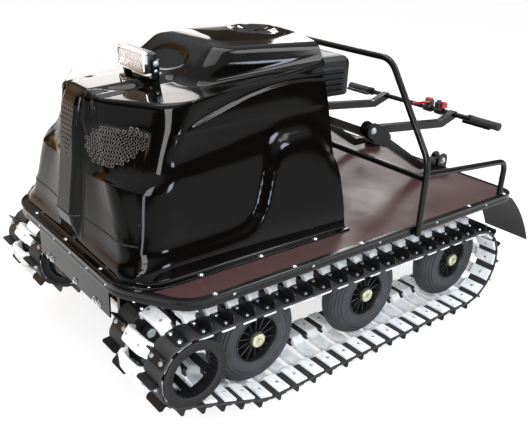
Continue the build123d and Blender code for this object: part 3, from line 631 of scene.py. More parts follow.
tyre = tyre_form()
barrel, hub, spoke = rim_forms()
disc_line = (
    (0.0005, 0.0095), (0.0200, 0.0095), (0.0235, 0.0085), (0.0250, 0.0060), (0.0250, 0.0005),
    (0.0005, 0.0005)
)
hub_disc = turned(disc_line, 40)
hub_bolt = bolt_head(0.0085, 0.0075)
tyres = Stock()
rims = Stock()
hub_discs = Stock()
SPOKES = 14
for wheel_y in WHEEL_ROWS:
    centre = at(WHEEL_X, wheel_y, AXLE_Z)
    tyres.add(tyre, centre)
    rims.add(barrel, centre)
    rims.add(hub, centre)
    for index in range(SPOKES):
        spin = rotated(360 * index / SPOKES, "X")
        rims.add(spoke, centre @ spin @ at(0.006, 0, 0.0265) @ rotated(90, "Z"))
    face = centre @ at(0.0405, 0, 0)
    hub_discs.add(hub_disc, face)
    hub_discs.add(hub_bolt, face @ at(0.0092, 0, 0) @ rotated(90, "Y"))
for side, (tyre_set, rim_set, disc_set) in both_sides(tyres, rims, hub_discs):
    tyre_set.piece(f"tyres_ribbed_{side}", tyre_rubber, slot="tyre_rubber", replaces=(f"tyres_{side}",))
    rim_set.piece(f"rims_spoked_{side}", black_nylon, slot="rim_plastic", replaces=(f"rims_{side}",))
    disc_set.piece(f"hub_discs_{side}", zinc_yellow, slot="zinc_steel")


# Hood: one skin drawn through rings from the flange to the crest, with its pressed lines, in millimetres
HOOD_RINGS = (
    # Rear x and z, side corner x and y, brow corner x and y, front z, side bend, brow bend, bend across it
    (441, 461.4, 436, -842, 362, -906, 461.4, 78, 44, 0),
    (441, 466, 436, -842, 362, -906, 466, 78, 44, 2),
    (415, 467, 411, -830, 348, -884, 467, 70, 38, 9),
    (401, 545, 402, -824, 338, -880, 545, 70, 38, 40),
    (331, 790, 366, -768, 190, -856, 790, 74, 44, 80),
    (258, 1000, 338, -700, 120, -836, 942, 86, 44, 26),
    (246, 1004, 232, -545, 170, -566, 948, 60, 30, 20),
    (216, 1052, 198, -430, 165, -466, 1058, 36, 24, 20),
    (110, 1071, 100, -400, 90, -420, 1074, 20, 20, 60),
    (0, 1075, 0, -300, 0, -330, 1078, 0, 0, 0),
)
HOOD_REAR = -78
HOOD_FRONT = -876
# Lines on the hood's side as (reach along the waist from the rear, height)
ARCH = (
    (-40, 640), (0, 690), (15, 715), (30, 742), (51, 772), (75, 793), (105, 806), (147, 811), (206, 809),
)
CREASE = ARCH + (
    (338, 796), (492, 777), (595, 767), (638, 758), (669, 752), (704, 748), (754, 743), (823, 736),
    (880, 726), (949, 712), (1000, 706),
)
FENDER = ARCH + (
    (245, 800), (272, 784), (290, 755), (301, 730), (316, 668), (330, 618), (345, 589), (362, 570),
    (390, 559), (440, 555), (520, 552), (602, 550), (680, 545), (741, 536), (800, 527), (860, 521),
    (1100, 518),
)
LEDGE = (
    (-40, 944), (7, 947), (90, 953), (184, 955), (280, 948), (375, 935), (460, 917), (536, 897), (600, 878),
    (640, 862)
)
KIDNEY = (
    (990, 788), (978, 822), (945, 850), (880, 866), (817, 868), (780, 871), (745, 868), (740, 834),
    (749, 812), (778, 784), (824, 757), (898, 739), (944, 736), (972, 750),
)
# The nose as (height, half width, front y)
NOSE = (
    (461, 60, -860), (490, 60, -880), (520, 60, -892), (566, 60, -900), (734, 58, -877), (830, 56, -870),
    (900, 54, -858), (934, 50, -845),
)


def bent(points, cuts, runs, bends):
    """Points along a line whose inner corners are rounded, cut back by at most 45 % of each run."""
    points = [np.array(p, float) for p in points]
    gates = [(points[0], points[0])]
    for before, corner, after, cut in zip(points, points[1:], points[2:], cuts):
        gate = []
        for other in (before, after):
            reach = np.linalg.norm(other - corner)
            gate.append(corner + (other - corner) * (min(cut, 0.45 * reach) / max(reach, 1e-9)))
        gates.append(gate)
    gates.append((points[-1], points[-1]))
    line = []
    for index, run in enumerate(runs):
        start, end = gates[index][1], gates[index + 1][0]
        line += [start + (end - start) * (step / run) for step in range(run)]
        if index < len(bends):
            a, b = gates[index + 1]
            for step in range(bends[index]):
                t = step / bends[index]
                line.append((1 - t) ** 2 * a + 2 * t * (1 - t) * points[index + 1] + t * t * b)
    return line + [points[-1]]


def soft(low, high, value):
    """A smooth step from 0 at low to 1 at high."""
    share = np.clip((value - low) / (high - low), 0, 1)
    return share * share * (3 - 2 * share)


def off_line(u, v, line):
    """Distance of (u, v) points from a line."""
    best = np.full(np.shape(u), 1e9)
    for (u0, v0), (u1, v1) in zip(line, line[1:]):
        du, dv = u1 - u0, v1 - v0
        t = np.clip(((u - u0) * du + (v - v0) * dv) / (du * du + dv * dv), 0, 1)
        best = np.minimum(best, np.hypot(u - u0 - t * du, v - v0 - t * dv))
    return best


def depth_in(u, v, loop):
    """How far (u, v) points lie inside a closed loop, negative outside."""
    inside = np.zeros(np.shape(u), bool)
    for (u0, v0), (u1, v1) in zip(loop, loop[1:] + loop[:1]):
        if v0 != v1:
            inside ^= ((v0 > v) != (v1 > v)) & (u < u0 + (v - v0) * (u1 - u0) / (v1 - v0))
    return np.where(inside, 1, -1) * off_line(u, v, loop + loop[:1])


def skin_normals(skin):
    """Outward normals of a grid of points."""
    along, up = np.gradient(skin, axis=0), np.gradient(skin, axis=1)
    out = np.cross(up, along)
    return out / np.maximum(np.linalg.norm(out, axis=2, keepdims=True), 1e-9)


def hood_skin():
    """The hood's left half as a grid of points, column by column from the rear to the front's middle."""
    rings = []
    for rear_x, rear_z, side_x, side_y, brow_x, brow_y, front_z, side_bend, brow_bend, _ in HOOD_RINGS:
        rise = (front_z - rear_z) / (HOOD_FRONT - HOOD_REAR)
        corners = [
            (rear_x, HOOD_REAR), (side_x, side_y), (brow_x, brow_y), (min(90, 0.6 * brow_x), brow_y),
            (0, brow_y)
        ]
        corners = [(x, y, rear_z + rise * (y - HOOD_REAR)) for x, y in corners]
        rings.append(bent(corners, (side_bend, brow_bend, 0), (84, 30, 26, 42), (20, 12, 0)))
    across = [ring[-1] for ring in HOOD_RINGS][1:-1]
    runs = (1, 3, 8, 58, 32, 14, 12, 10, 8)
    bends = (3, 6, 8, 10, 9, 7, 8, 6)
    skin = np.array([bent(column, across, runs, bends) for column in zip(*rings)])
    waist = np.array(rings[4])
    reach = np.concatenate(([0], np.cumsum(np.linalg.norm(np.diff(waist, axis=0), axis=1))))
    x, y, z = np.moveaxis(skin, 2, 0)
    a = np.broadcast_to(reach[:, None], z.shape)

    # Side: the panel lies in from the fender and skirt, and the upper body lies in from the panel
    lower = depth_in(a, z, CREASE + ((1000, 400), (-40, 400)))
    fender = depth_in(a, z, FENDER + ((1100, 400), (-40, 400)))
    upper = depth_in(a, z, LEDGE + ((640, 700), (-40, 700)))
    on_side = soft(1000, 930, a)
    rise = -15 * (1 - np.clip(fender / 34, 0, 1)) * on_side
    # The lower body stands out in a lip under the kidney, and hardly at all along the side
    corner = soft(640, 760, a)
    lip = 12 * corner * soft(970, 830, a)
    rise += lip * soft(-10, 8, lower) * soft(170, 20, lower)
    fade = soft(-120, -10, lower) * (1 - corner) + soft(-225, -120, lower) * corner
    along_side = 9 * soft(8, -8, lower) * (1 - corner)
    at_corner = (7 * soft(990, 880, a) + lip) * soft(8, -10, lower) * corner
    rise -= (along_side + at_corner) * fade * on_side
    shelf = soft(3, -3, upper) * soft(-60, -5, upper) * (z > 800) * (z < 990)
    rise -= 6 * shelf * on_side * soft(640, 560, a)
    rise *= soft(1015, 960, z)
    # Kidney recess at the front corner
    rise -= (8 - 5 * soft(870, 960, a)) * soft(-6, 8, depth_in(a, z, KIDNEY))
    # The moulding has no sharp steps
    for _ in range(3):
        framed = np.pad(rise, 1, mode="edge")
        rise = (framed[:-2, 1:-1] + framed[2:, 1:-1] + framed[1:-1, :-2] + framed[1:-1, 2:] + 2 * rise) / 6
    skin = skin + skin_normals(skin) * rise[..., None]

    # Spear ridges beside the grille, the dome's oval pressing and the dished boss on the dome
    x, y, z = np.moveaxis(skin, 2, 0)
    back = np.clip((y + 836) / 110, 0, 1)
    tip = np.sqrt(np.clip(1 - ((z - 893) / 50) ** 2, 0, 1))
    spear = (26 * (1 - back) ** 0.7) * np.where(y < -828, tip, 1)
    lift = 7 * soft(-8, 5, spear - np.abs(x - 84 - 26 * back)) * (y < -726) * (z > 840)
    oval = 1 - np.hypot(x / 104, (z - 1006) / 30)
    lift -= 7 * soft(-0.06, 0.12, oval) * (y > -580) * (y < -430)
    disc = np.hypot(x, y + 185)
    lift += (7 * soft(84, 74, disc) - 12 * soft(70, 30, disc)) * (z > 1040)
    skin = skin + skin_normals(skin) * lift[..., None]

    # Nose panel, drawn forwards
    x, y, z = np.moveaxis(skin, 2, 0)
    heights = [row[0] for row in NOSE]
    half = np.interp(z, heights, [row[1] for row in NOSE])
    front = np.interp(z, heights, [row[2] for row in NOSE])
    edge = half - np.abs(x)
    share = 0.62 * soft(-4, 2, edge) + 0.38 * np.clip(edge / 15, 0, 1)
    ahead = (y < -700) * (z > 466.5) * soft(940, 926, z)
    groove = 5 * soft(-20, -12, edge) * soft(-3, -9, edge) * soft(480, 560, z) * soft(935, 900, z)
    skin[..., 1] = y + (np.minimum(front - y, 0) * share + groove) * ahead
    return skin, reach


hood_half, hood_reach = hood_skin()
hood_out = skin_normals(hood_half)


def on_hood(reach, height):
    """A spot on the hood's left side at a reach along the waist and a height, with the way out there."""
    column = np.interp(reach, hood_reach, np.arange(len(hood_reach)))
    first = min(int(column), len(hood_reach) - 2)
    rows = np.argmax(hood_half[first, :, 2] > min(height + 60, 930))
    found = []
    for grid in (hood_half, hood_out):
        ends = [
            [np.interp(height, hood_half[c, :rows, 2], grid[c, :rows, axis]) for axis in range(3)]
            for c in (first, first + 1)
        ]
        found.append(Vector(ends[0]).lerp(Vector(ends[1]), column - first))
    return found[0] * MM, found[1].normalized()


lip = hood_half[:1] - hood_out[:1] * 12 - (0, 10, 0)
hood_edged = np.concatenate((lip, hood_half))
hood_whole = np.concatenate((hood_edged, (hood_edged * (-1, 1, 1))[-2::-1]))
hood = Stock((
    [tuple(p) for p in hood_whole.reshape(-1, 3) * MM],
    [face[::-1] for face in strip_faces(*hood_whole.shape[:2])],
))
hood.piece("hood_moulded", gloss_abs, slot="hood_plastic", replaces=("hood_shell", "hood_nose"), smooth=50.0)

# Perforated sheet in the kidneys: raised rims round its holes, in offset rows
HOLE_PITCH = 14.0
rim_turns = np.arange(6) * math.pi / 3
rim_ring = turned(
    [(0.0053 + 0.0015 * math.cos(t), 0.0015 * math.sin(t)) for t in rim_turns], 14, closed=True
)
kidney_mesh = Stock()
for row in range(12):
    for step in range(24):
        reach = 733 + HOLE_PITCH * (step + row % 2 / 2)
        height = 741 + 0.866 * HOLE_PITCH * row
        if depth_in(np.array(reach), np.array(height), KIDNEY) > 8:
            spot, out = on_hood(reach, height)
            kidney_mesh.add(rim_ring, facing(spot + out * 0.0006, out) @ rotated(90, "Y"))
kidney_mesh.add((kidney_mesh.verts[:], kidney_mesh.faces[:]), MIRROR)
# The rims' grey colour is a painted highlight on black lacquer
kidney_mesh.piece("kidney_mesh", mesh_wire_painted_highlight, slot="hood_plastic")

# Slots of the nose's grille, in a leaf of short dashes, and the pressed line low on the front
nose_slots = Stock()
slot = rounded_block(0.0105, 0.0042, 0.0018, 0.0007)
nose_z = [row[0] for row in NOSE]
nose_y = [row[2] for row in NOSE]
for row in range(12):
    height = 748 + 14.5 * row
    lean = (np.interp(height + 5, nose_z, nose_y) - np.interp(height - 5, nose_z, nose_y)) / 10
    half = np.interp(height, (745, 800, 850, 915), (8, 30, 44, 30))
    for step in range(-4, 5):
        across = 15.0 * step + 7.5 * (row % 2)
        if abs(across) < half:
            spot = Vector((across, np.interp(height, nose_z, nose_y), height)) * MM
            nose_slots.add(slot, facing(spot, (0, -1, lean), (1, 0, 0)))
line = [on_hood(reach, 566)[0] for reach in np.linspace(hood_reach[-1] - 300, hood_reach[-1], 40)]
nose_slots.add(bar_along(line + [Vector((-p.x, p.y, p.z)) for p in line[-2::-1]], 0.0024, 8))
nose_slots.piece("nose_slots", shroud_plastic, slot="hood_plastic")


def bent_tube(points, cuts):
    """A tube bent along points given in millimetres."""
    line = bent(points, cuts, (2,) * (len(points) - 1), (10,) * (len(points) - 2))
    return bar_along([p * MM for p in line], TUBE_RADIUS, 24)


def both_halves(half):
    """A loop in metres from the points of its left half in millimetres."""
    return [tuple(p * MM) for p in half] + [(-p[0] * MM, p[1] * MM, p[2] * MM) for p in half[-2:0:-1]]


# Bent tubes: hoop and cargo rails
half_hoop = [(559.3, 140, 432), (559.3, 140, 700), (348, 140, 1006)]
hoop_line = half_hoop + [(-x, y, z) for x, y, z in reversed(half_hoop)]
hoop_tube = Stock(bent_tube(hoop_line, (40, 44, 44, 40)))
hoop_tube.piece("hoop_bent", powder_coat, slot="black_steel", replaces=("hoop",))
for side, sign in (("left", 1), ("right", -1)):
    rail_line = [(sign * 526, 140, 640), (sign * 526, 672, 600), (sign * 526, 672, 459)]
    rail = Stock(bent_tube(rail_line, (45,)))
    rail.piece(f"cargo_rail_bent_{side}", powder_coat, slot="black_steel", replaces=(f"cargo_rail_{side}",))

# Handlebar with ribbed grips
BAR = (0.762, 0.695)
bar = Stock(bar_along([(x, *BAR) for x in (-0.292, -0.1, 0.1, 0.292)], TUBE_RADIUS, 24))
bar.piece("handlebar_tube", powder_coat, "handle_upper", "black_steel", ("handlebar",))
grip_line = [(0.0112, 0.0), (0.0165, 0.0), (0.017, 0.003)]
for rib in range(14):
    start = 0.008 + 0.008 * rib
    grip_line += [(0.0168, start), (0.0150, start + 0.0015), (0.0150, start + 0.0045)]
grip_line += [(0.017, 0.121), (0.017, 0.127), (0.014, 0.130), (0.0005, 0.130)]
for side, sign in (("left", 1), ("right", -1)):
    grip = Stock()
    grip.add(turned(grip_line, 40), at(sign * 0.290, *BAR) @ Matrix.Diagonal((sign, 1, 1, 1)))
    grip.piece(
        f"grip_ribbed_{side}", grip_rubber, "handle_upper", "grip_rubber", (f"grip_{side}",), smooth=25.0
    )

# Drive drums: two turned rings joined by flat bars, a web and a hub on the inner ring
ring = [
    (0.076, 0.5280), (0.0935, 0.5280), (0.0955, 0.5300), (0.0955, 0.564), (0.1045, 0.5665), (0.1055, 0.568),
    (0.1055, 0.5705), (0.104, 0.5715), (0.100, 0.5715), (0.0985, 0.5705), (0.0795, 0.5705), (0.078, 0.5715),
    (0.0755, 0.5715), (0.0745, 0.5705),
]
drum = Stock()
for flip in (False, True):
    rows = [(r, 2 * WHEEL_X - x) for r, x in reversed(ring)] if flip else ring
    drum.add(turned(rows, 96, closed=True), DRUM_AXIS)
hub_web = [
    (0.0155, 0.320), (0.030, 0.320), (0.032, 0.317), (0.034, 0.309), (0.0745, 0.308), (0.0745, 0.300),
    (0.0155, 0.300)
]
drum.add(turned(hub_web, 72, closed=True), DRUM_AXIS)
drum_bar = rounded_block(0.024, 0.250, 0.008, 0.0012)
drum_rib = rounded_block(0.003, 0.038, 0.006, 0.0008)
drum_bolts = Stock()
drum_bolt = bolt_head(0.0036, 0.0026)
DRUM_RIBS = 24
for index in range(DRUM_RIBS):
    spin = DRUM_AXIS @ rotated(360 * index / DRUM_RIBS, "X")
    drum.add(drum_rib, spin @ at(0.5490, 0, 0.0700) @ rotated(90, "Z"))
    if index % 4 == 0:
        drum.add(drum_bar, spin @ at(WHEEL_X, 0, 0.0795) @ rotated(90, "Z"))
        for x in (0.318, 0.375, 0.467, 0.524):
            drum_bolts.add(drum_bolt, spin @ at(x, 0, 0.0873))
for side, (drum_set, bolt_set) in both_sides(drum, drum_bolts):
    drum_set.piece(f"drum_turned_{side}", polyamide, slot="drum_plastic", replaces=(f"drive_drum_{side}",))
    bolt_set.piece(f"drum_bolts_{side}", zinc_bright, slot="zinc_steel", smooth=25.0)

# Deck: board and angle trim with a smooth front corner and a bead along each edge
# Its corners in millimetres, with the share of an outward push that goes to x and to y
DECK_CORNERS = ((0, -910, 0, -1), (351, -910, 1, -1), (545, -782, 1, -0.4), (545, 752, 1, 1), (0, 752, 0, 1))


def deck_outline(out, height):
    """Points round the deck, its corners rounded, pushed outwards, in metres."""
    half = [(x + side * out, y + end * out, height) for x, y, side, end in DECK_CORNERS]
    return both_halves(bent(half, (52, 70, 66), (12, 6, 40, 24), (10, 12, 12)))


TRIM = (
    (-15, 461.2), (-14, 463), (-2, 463.3), (1.5, 462.8), (3, 461), (3, 452), (2, 450), (2, 447), (3, 445),
    (3, 434), (2.4, 431.8), (1, 431), (0, 432), (0, 460.8),
)
trim_rows = [deck_outline(out, height) for out, height in TRIM]
trim = Stock((
    [p for row in trim_rows for p in row],
    strip_faces(len(TRIM), len(trim_rows[0]), closed_rows=True, closed_columns=True),
))
trim.piece("deck_trim_bead", powder_coat, slot="black_steel", replaces=("deck_trim",))
board_rows = [deck_outline(-0.4, height) for height in (449.2, 461)]
board = Stock((board_rows[0] + board_rows[1], capped(2, len(board_rows[0]))))
board.piece("deck_board_filmed", film_plywood, slot="deck_plywood", replaces=("deck_board",))

# Bolts on the hood's flange, the deck's edge, the front plate and the trim
deck_bolts = Stock()
flange_bolt = dome_head(0.0080, 0.0055)
for x, y in ((434, -232), (432, -456), (430, -675), (414, -838), (240, -895)):
    for sign in (1, -1):
        deck_bolts.add(flange_bolt, at(sign * x * MM, y * MM, 0.4661))
deck_bolts.add(flange_bolt, at(0, -0.8955, 0.4661))
edge_bolt = dome_head(0.0072, 0.0048)
for y in (-700, -410, -120, 170, 460, 690):
    for sign in (1, -1):
        deck_bolts.add(edge_bolt, at(sign * 0.5365, y * MM, 0.4630))
plate_bolt = bolt_head(0.0085, 0.0070)
for x in (-192, -161, 21, 161, 192):
    deck_bolts.add(plate_bolt, facing((x * MM, -0.8853, 0.322), (0, -1, 0)))
trim_bolt = dome_head(0.0042, 0.0028)
for x in (-300, -180, -60, 60, 180, 300):
    deck_bolts.add(trim_bolt, facing((x * MM, -0.9122, 0.4485), (0, -1, 0)))
for y in (-640, -340, -40, 260, 560):
    for sign in (1, -1):
        deck_bolts.add(trim_bolt, facing((sign * 0.5472, y * MM, 0.4485), (sign, 0, 0)))
deck_bolts.piece("deck_bolts", zinc_bright, slot="zinc_steel", smooth=25.0)

# Roller chain round the sprocket and pinion on the right
LINK = 0.01905
chain = Stock()
CHAIN_X = -0.255
SPROCKET_RADIUS = 0.059
PINION_RADIUS = 0.025
sprocket, pinion = Vector(DRUM[:2]), Vector((-0.600, 0.384))
heading = math.atan2((pinion - sprocket).y, (pinion - sprocket).x)
gap = (pinion - sprocket).length
pull = math.acos((SPROCKET_RADIUS - PINION_RADIUS) / gap)
top, low = heading + pull, heading - pull
line = []
for centre, radius, turns in (
    (sprocket, SPROCKET_RADIUS, np.linspace(top, low + 2 * math.pi, 120)),
    (pinion, PINION_RADIUS, np.linspace(low, top, 40)),
):
    line += [centre + radius * Vector((math.cos(t), math.sin(t))) for t in turns]
line.append(line[0])
walked = np.concatenate(([0], np.cumsum([(b - a).length for a, b in zip(line, line[1:])])))
links = round(walked[-1] / LINK / 2) * 2
plate = [(0.0135, 0.0), (0.0125, 0.004), (0.009, 0.0062), (0.004, 0.0055), (0.0, 0.0047)]
plate += [(-x, z) for x, z in plate[-2::-1]]
plate += [(x, -z) for x, z in plate[-2:0:-1]]
steps = np.arange(links + 1) * walked[-1] / links
spots = np.transpose([np.interp(steps, walked, [p[axis] for p in line]) for axis in (0, 1)])
spots = [Vector(spot) for spot in spots]
for index, (start, end) in enumerate(zip(spots, spots[1:])):
    middle, ahead = (start + end) / 2, (end - start).normalized()
    reach = 0.0062 if index % 2 else 0.0082
    for sign in (1, -1):
        rows = []
        for x in (sign * reach, sign * (reach - 0.0018)):
            for u, v in plate:
                spot = middle + u * ahead + v * Vector((-ahead.y, ahead.x))
                rows.append((CHAIN_X + x, spot.x, spot.y))
        faces = capped(2, len(plate))
        chain.add((rows, faces if sign < 0 else [face[::-1] for face in faces]))
chain.piece("chain_links", chain_steel, slot="chain_steel", smooth=30.0)

# Lamp: moulded body, bright frame, bowl and fluted glass
LAMP_Z = 1008


def rounded_rows(rows, steps=5):
    """Rounded rectangles across Y round the lamp's middle, one per (y, width, height, corner) row in mm."""
    verts = []
    for y, width, height, corner in rows:
        for quarter in range(4):
            for step in range(steps):
                angle = math.pi / 2 * (quarter + step / (steps - 1))
                cx = (width / 2 - corner) * (1 if quarter in (0, 3) else -1)
                cz = (height / 2 - corner) * (1 if quarter < 2 else -1)
                spot = Vector((cx + corner * math.cos(angle), y, LAMP_Z + cz + corner * math.sin(angle)))
                verts.append(spot * MM)
    return verts, strip_faces(len(rows), 4 * steps, closed_columns=True)


def closed_end(form, steps=5):
    """The same form with its last row filled in."""
    verts, faces = form
    return verts, faces + [tuple(range(len(verts) - 4 * steps, len(verts)))]


lamp_body = Stock(closed_end(rounded_rows((
    (-645, 166, 62, 9), (-640, 169, 65, 10), (-614, 168, 64, 10), (-602, 152, 52, 12), (-595, 120, 34, 12),
    (-592, 90, 22, 10),
))))
lamp_body.piece("lamp_body", black_nylon, slot="lamp_shell", replaces=("lamp_housing",))
lamp_frame = Stock(rounded_rows((
    (-640, 167, 63, 9), (-640, 170, 66, 10), (-650, 170, 66, 10), (-652, 167, 63, 9), (-652, 158, 54, 8),
    (-648, 155, 51, 7), (-640, 150, 48, 8), (-628, 128, 40, 12), (-621, 96, 30, 14), (-618, 50, 18, 8),
)))
bulb = turned(((0.012, 0.0), (0.011, 0.008), (0.007, 0.012), (0.0005, 0.013)), 24)
lamp_frame.add(bulb, at(0, -0.622, LAMP_Z * MM) @ rotated(-90, "Z"))
lamp_frame.piece("lamp_frame", lamp_chrome, slot="lamp_shell")
flute_x = np.linspace(-76.5, 76.5, 103)
flute_rows = []
for height in (-25.5, -24, 24, 25.5):
    for x in flute_x:
        flute_rows.append(Vector((x, -648.5 - 1.2 * abs(math.sin(x * math.pi / 9)), LAMP_Z + height)) * MM)
flute_faces = strip_faces(4, len(flute_x))
flutes = Stock((flute_rows, flute_faces))
flutes.add((flute_rows, [face[::-1] for face in flute_faces]), at(0, 0.0022, 0))
flutes.piece("lamp_fluted_glass", lamp_glass, slot="lamp_glass", replaces=("lamp_lens",))
pivots = Stock()
pivot_bolt = bolt_head(0.0068, 0.0060)
for sign in (1, -1):
    pivots.add(pivot_bolt, facing((sign * 0.0933, -0.616, LAMP_Z * MM), (sign, 0, 0)))
    pivots.add(dome_head(0.0045, 0.003), facing((sign * 0.0933, -0.616, 0.985), (sign, 0, 0)))
pivots.piece("lamp_bolts", zinc_bright, slot="zinc_steel", smooth=25.0)


# Engine shroud: a rounded cover on a narrower foot, louvred at its rear and sides, with the fuel cap on top
cover_rows = []
for out, height in (
    (-58, 790), (-58, 848), (-8, 851), (0, 854), (4, 860), (4, 966), (1, 978), (-6, 987), (-18, 992),
    (-60, 996),
):
    half = [(0, -118), (150 + out, -118), (184 + out, -60), (184 + out, 110 + out), (0, 116 + out)]
    half = bent([(x, y, height) for x, y in half], (20, 24, 15), (3, 2, 6, 6), (5, 5, 9))
    cover_rows.append(both_halves(half))
around = len(cover_rows[0])
shroud = Stock((
    [p for row in cover_rows for p in row],
    [face[::-1] for face in strip_faces(len(cover_rows), around, closed_columns=True)]
    + [tuple(range((len(cover_rows) - 1) * around, len(cover_rows) * around))[::-1]],
))
louvre = rounded_block(0.300, 0.010, 0.014, 0.0022)
side_louvre = rounded_block(0.110, 0.010, 0.014, 0.0022)
for row in range(5):
    height = (874 + 20 * row) * MM
    shroud.add(louvre, facing((0, 0.1165, height), (0, 1, -0.5), (1, 0, 0)))
    for sign in (1, -1):
        shroud.add(side_louvre, facing((sign * 0.185, 0.030, height), (sign, 0, -0.5), (0, 1, 0)))
cap = [(0.022, 0.0), (0.022, 0.012), (0.027, 0.013), (0.0275, 0.034), (0.024, 0.038), (0.0005, 0.039)]
shroud.add(turned(cap, 48), at(0, -0.03, 0.9955) @ rotated(-90, "Y"))
CAP_RIBS = 20
for rib in range(CAP_RIBS):
    spin = at(0, -0.03, 1.0100) @ rotated(360 * rib / CAP_RIBS, "Z")
    shroud.add(rounded_block(0.004, 0.003, 0.020, 0.0008), spin @ at(0.0275, 0, 0))
shroud.piece("shroud_louvred", shroud_plastic, slot="shroud_plastic", replaces=("engine_shroud",))

# Controls on the bar: black clamps with a red throttle lever, and a switch box with blue rocker and red frame
throttle = Stock()
clamp_line = (
    (0.0112, -0.019), (0.016, -0.019), (0.0175, -0.016), (0.0175, 0.016), (0.016, 0.019), (0.0112, 0.019)
)
clamp = turned(clamp_line, 32, closed=True)
throttle.add(clamp, at(0.060, *BAR))
throttle.add(rounded_block(0.036, 0.030, 0.026, 0.004), at(0.060, 0.765, 0.704))
throttle.piece("throttle_clamp", black_nylon, "handle_upper", "control_plastic", ("throttle",))
lever_line = [(0.070, 0.752, 0.722), (0.055, 0.738, 0.720), (0.030, 0.728, 0.712), (0.005, 0.724, 0.706)]
trigger = Stock(bar_along(lever_line, 0.0055, 12))
trigger.add(rounded_block(0.030, 0.022, 0.008, 0.002), at(0.058, 0.765, 0.7295))
trigger.piece("throttle_lever", red_abs, "handle_upper", "control_plastic")
switch = Stock()
switch.add(clamp, at(0.120, *BAR))
switch.add(rounded_block(0.042, 0.032, 0.028, 0.004), at(0.120, 0.764, 0.704))
switch.piece("switch_box", black_nylon, "handle_upper", "control_plastic", ("stop_switch",))
rocker = Stock()
rocker.add(rounded_block(0.018, 0.016, 0.007, 0.002), at(0.111, 0.764, 0.7315))
rocker.piece("switch_rocker", blue_abs, "handle_upper", "control_plastic")
switch_frame = Stock()
for x in (0.126, 0.142):
    switch_frame.add(rounded_block(0.006, 0.034, 0.024, 0.002), at(x, 0.764, 0.708))
switch_frame.add(rounded_block(0.018, 0.008, 0.006, 0.0018), at(0.134, 0.752, 0.7315))
switch_frame.piece("switch_frame", red_abs, "handle_upper", "control_plastic")

# Bolts of the handle's pivots
elbow_bolts = Stock()
fold_bolts = Stock()
pin_bolt = bolt_head(0.0095, 0.0075)
PIVOT_X = 0.190
ELBOW = (0.248, 0.703)
FOLD = (0.712, 0.503)
ARM_FACE = 0.0222
for sign in (1, -1):
    for face in (1, -1):
        out = Vector((sign * face, 0, 0))
        elbow_bolts.add(pin_bolt, facing(Vector((sign * PIVOT_X, *ELBOW)) + out * ARM_FACE, out))
        fold_bolts.add(pin_bolt, facing(Vector((sign * PIVOT_X, *FOLD)) + out * ARM_FACE, out))
elbow_bolts.piece("elbow_bolts", zinc_bright, "handle_lower", "zinc_steel", smooth=25.0)
fold_bolts.piece("fold_bolts", zinc_bright, slot="zinc_steel", smooth=25.0)


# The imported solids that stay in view
for material, names in (
    (powder_coat, "deck_rails cross_members lower_beams frame_legs drum_hangers front_plate hoop_cross_bar"),
    (powder_coat, "fold_brackets lower_arm_left lower_arm_right arm_cross_tube"),
    (powder_coat, "upper_arm_left upper_arm_right brake_lever_left brake_lever_right tow_hitch lamp_bracket"),
    (engine_paint, "engine_block"), (zinc_bright, "wheel_axles drive_shaft"), (chain_steel, "chain_drive"),
    (sheet_rubber, "mudflap_left mudflap_right"),
):
    for name in names.split():
        dress(nodes[name], material)


# Floor, light and camera
floor_paint = finish(
    "floor_matt_white", Base_Color=linear("#9c9c9c"), Roughness=0.9, Emission_Color=(1, 1, 1, 1)
)
tree = floor_paint.node_tree
rays = put(tree, "ShaderNodeLightPath")
shown = rays.outputs["Is Camera Ray"]
for kind in ("Is Transmission Ray", "Is Glossy Ray"):
    either = put(tree, "ShaderNodeMath", None, {0: shown, 1: rays.outputs[kind]}, operation="MAXIMUM")
    shown = either.outputs[0]
lifted = put(tree, "ShaderNodeMath", {1: 0.72}, {0: shown}, operation="MULTIPLY")
tree.links.new(lifted.outputs[0], tree.nodes["Principled BSDF"].inputs["Emission Strength"])
floor_mesh = bpy.data.meshes.new("studio_floor")
floor_mesh.from_pydata([(-40, -40, 0), (40, -40, 0), (40, 40, 0), (-40, 40, 0)], [], [(0, 1, 2, 3)])
studio_floor = bpy.data.objects.new("studio_floor", floor_mesh)
bpy.context.scene.collection.objects.link(studio_floor)
floor_mesh.materials.append(floor_paint)

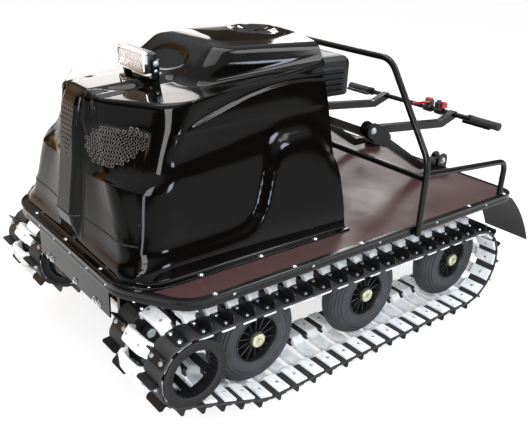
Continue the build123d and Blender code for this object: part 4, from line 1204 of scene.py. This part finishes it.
# A pale horizon, dim brownish walls and a bright ceiling: the gloss hood stays black, with light on its top
world = bpy.data.worlds.new("studio")
bpy.context.scene.world = world
world.use_nodes = True
sky = world.node_tree
backdrop = sky.nodes["Background"]
way = put(sky, "ShaderNodeNewGeometry")
level = put(sky, "ShaderNodeSeparateXYZ", None, {"Vector": way.outputs["Incoming"]})
height = put(sky, "ShaderNodeMapRange", {"From Min": 0.1, "From Max": -0.9}, {"Value": level.outputs["Z"]})
walls = put(sky, "ShaderNodeValToRGB", None, {"Fac": height.outputs["Result"]})
walls.color_ramp.elements[0].color = linear("#f6f6f6")
walls.color_ramp.elements[1].color = linear("#ffffff")
for share, tone in (
    (0.13, "#f6f6f6"), (0.19, "#6b6057"), (0.30, "#4f443b"), (0.50, "#5c5047"), (0.66, "#e8e8ea")
):
    walls.color_ramp.elements.new(share).color = linear(tone)
sky.links.new(walls.outputs["Color"], backdrop.inputs["Color"])
backdrop.inputs["Strength"].default_value = 1.0

for name, spot, aim, size, watts, tint in (
    ("key_softbox", (2.9, -3.0, 2.2), (0.2, -0.3, 0.4), 1.7, 135, "#ffffff"),
    ("fill_softbox", (2.0, 2.0, 4.0), (0.0, 0.2, 0.4), 1.6, 80, "#ffffff"),
    ("top_softbox", (-0.4, -0.2, 4.2), (0.0, 0.0, 0.5), 2.8, 110, "#ffffff"),
    ("rear_softbox", (-3.2, 0.75, 1.9), (0.0, -0.6, 0.95), 1.4, 30, "#fbf6f2"),
    ("corner_softbox", (2.2, -3.25, 0.95), (0.38, -0.84, 0.6), 0.6, 17, "#e4ecff"),
    ("side_softbox", (3.7, 0.4, 1.0), (0.36, -0.3, 0.65), 0.5, 23, "#e4ecff"),
    ("edge_softbox", (3.0, 1.8, 2.7), (0.35, -0.4, 0.75), 0.6, 32, "#e4ecff"),
    ("deck_softbox", (-2.8, 3.4, 2.75), (0.0, 0.3, 0.47), 1.1, 50, "#ffffff"),
    ("left_softbox", (-3.0, -2.2, 1.3), (0.0, -0.5, 0.6), 2.8, 34, "#c08a55"),
):
    lamp = bpy.data.lights.new(name, "AREA")
    lamp.size = size
    lamp.energy = watts
    lamp.color = linear(tint)[:3]
    holder = bpy.data.objects.new(name, lamp)
    holder.location = spot
    holder.rotation_euler = (Vector(aim) - Vector(spot)).to_track_quat("-Z", "Y").to_euler()
    bpy.context.scene.collection.objects.link(holder)

camera = bpy.data.objects.new("photo_camera", bpy.data.cameras.new("photo_camera"))
bpy.context.scene.collection.objects.link(camera)
right = Vector((0.62218, 0.78157, 0.04457))
up = Vector((-0.33793259, 0.21677829, 0.91586502))
look = Vector((-0.70614533, 0.58494111, -0.39900208))
camera.matrix_world = at(1.857, -1.632, 1.408) @ Matrix((right, up, -look)).transposed().to_4x4()
camera.data.sensor_width = 36
camera.data.lens = 45.88
camera.data.clip_end = 200
bpy.context.scene.camera = camera
bpy.context.scene.view_settings.view_transform = "Standard"
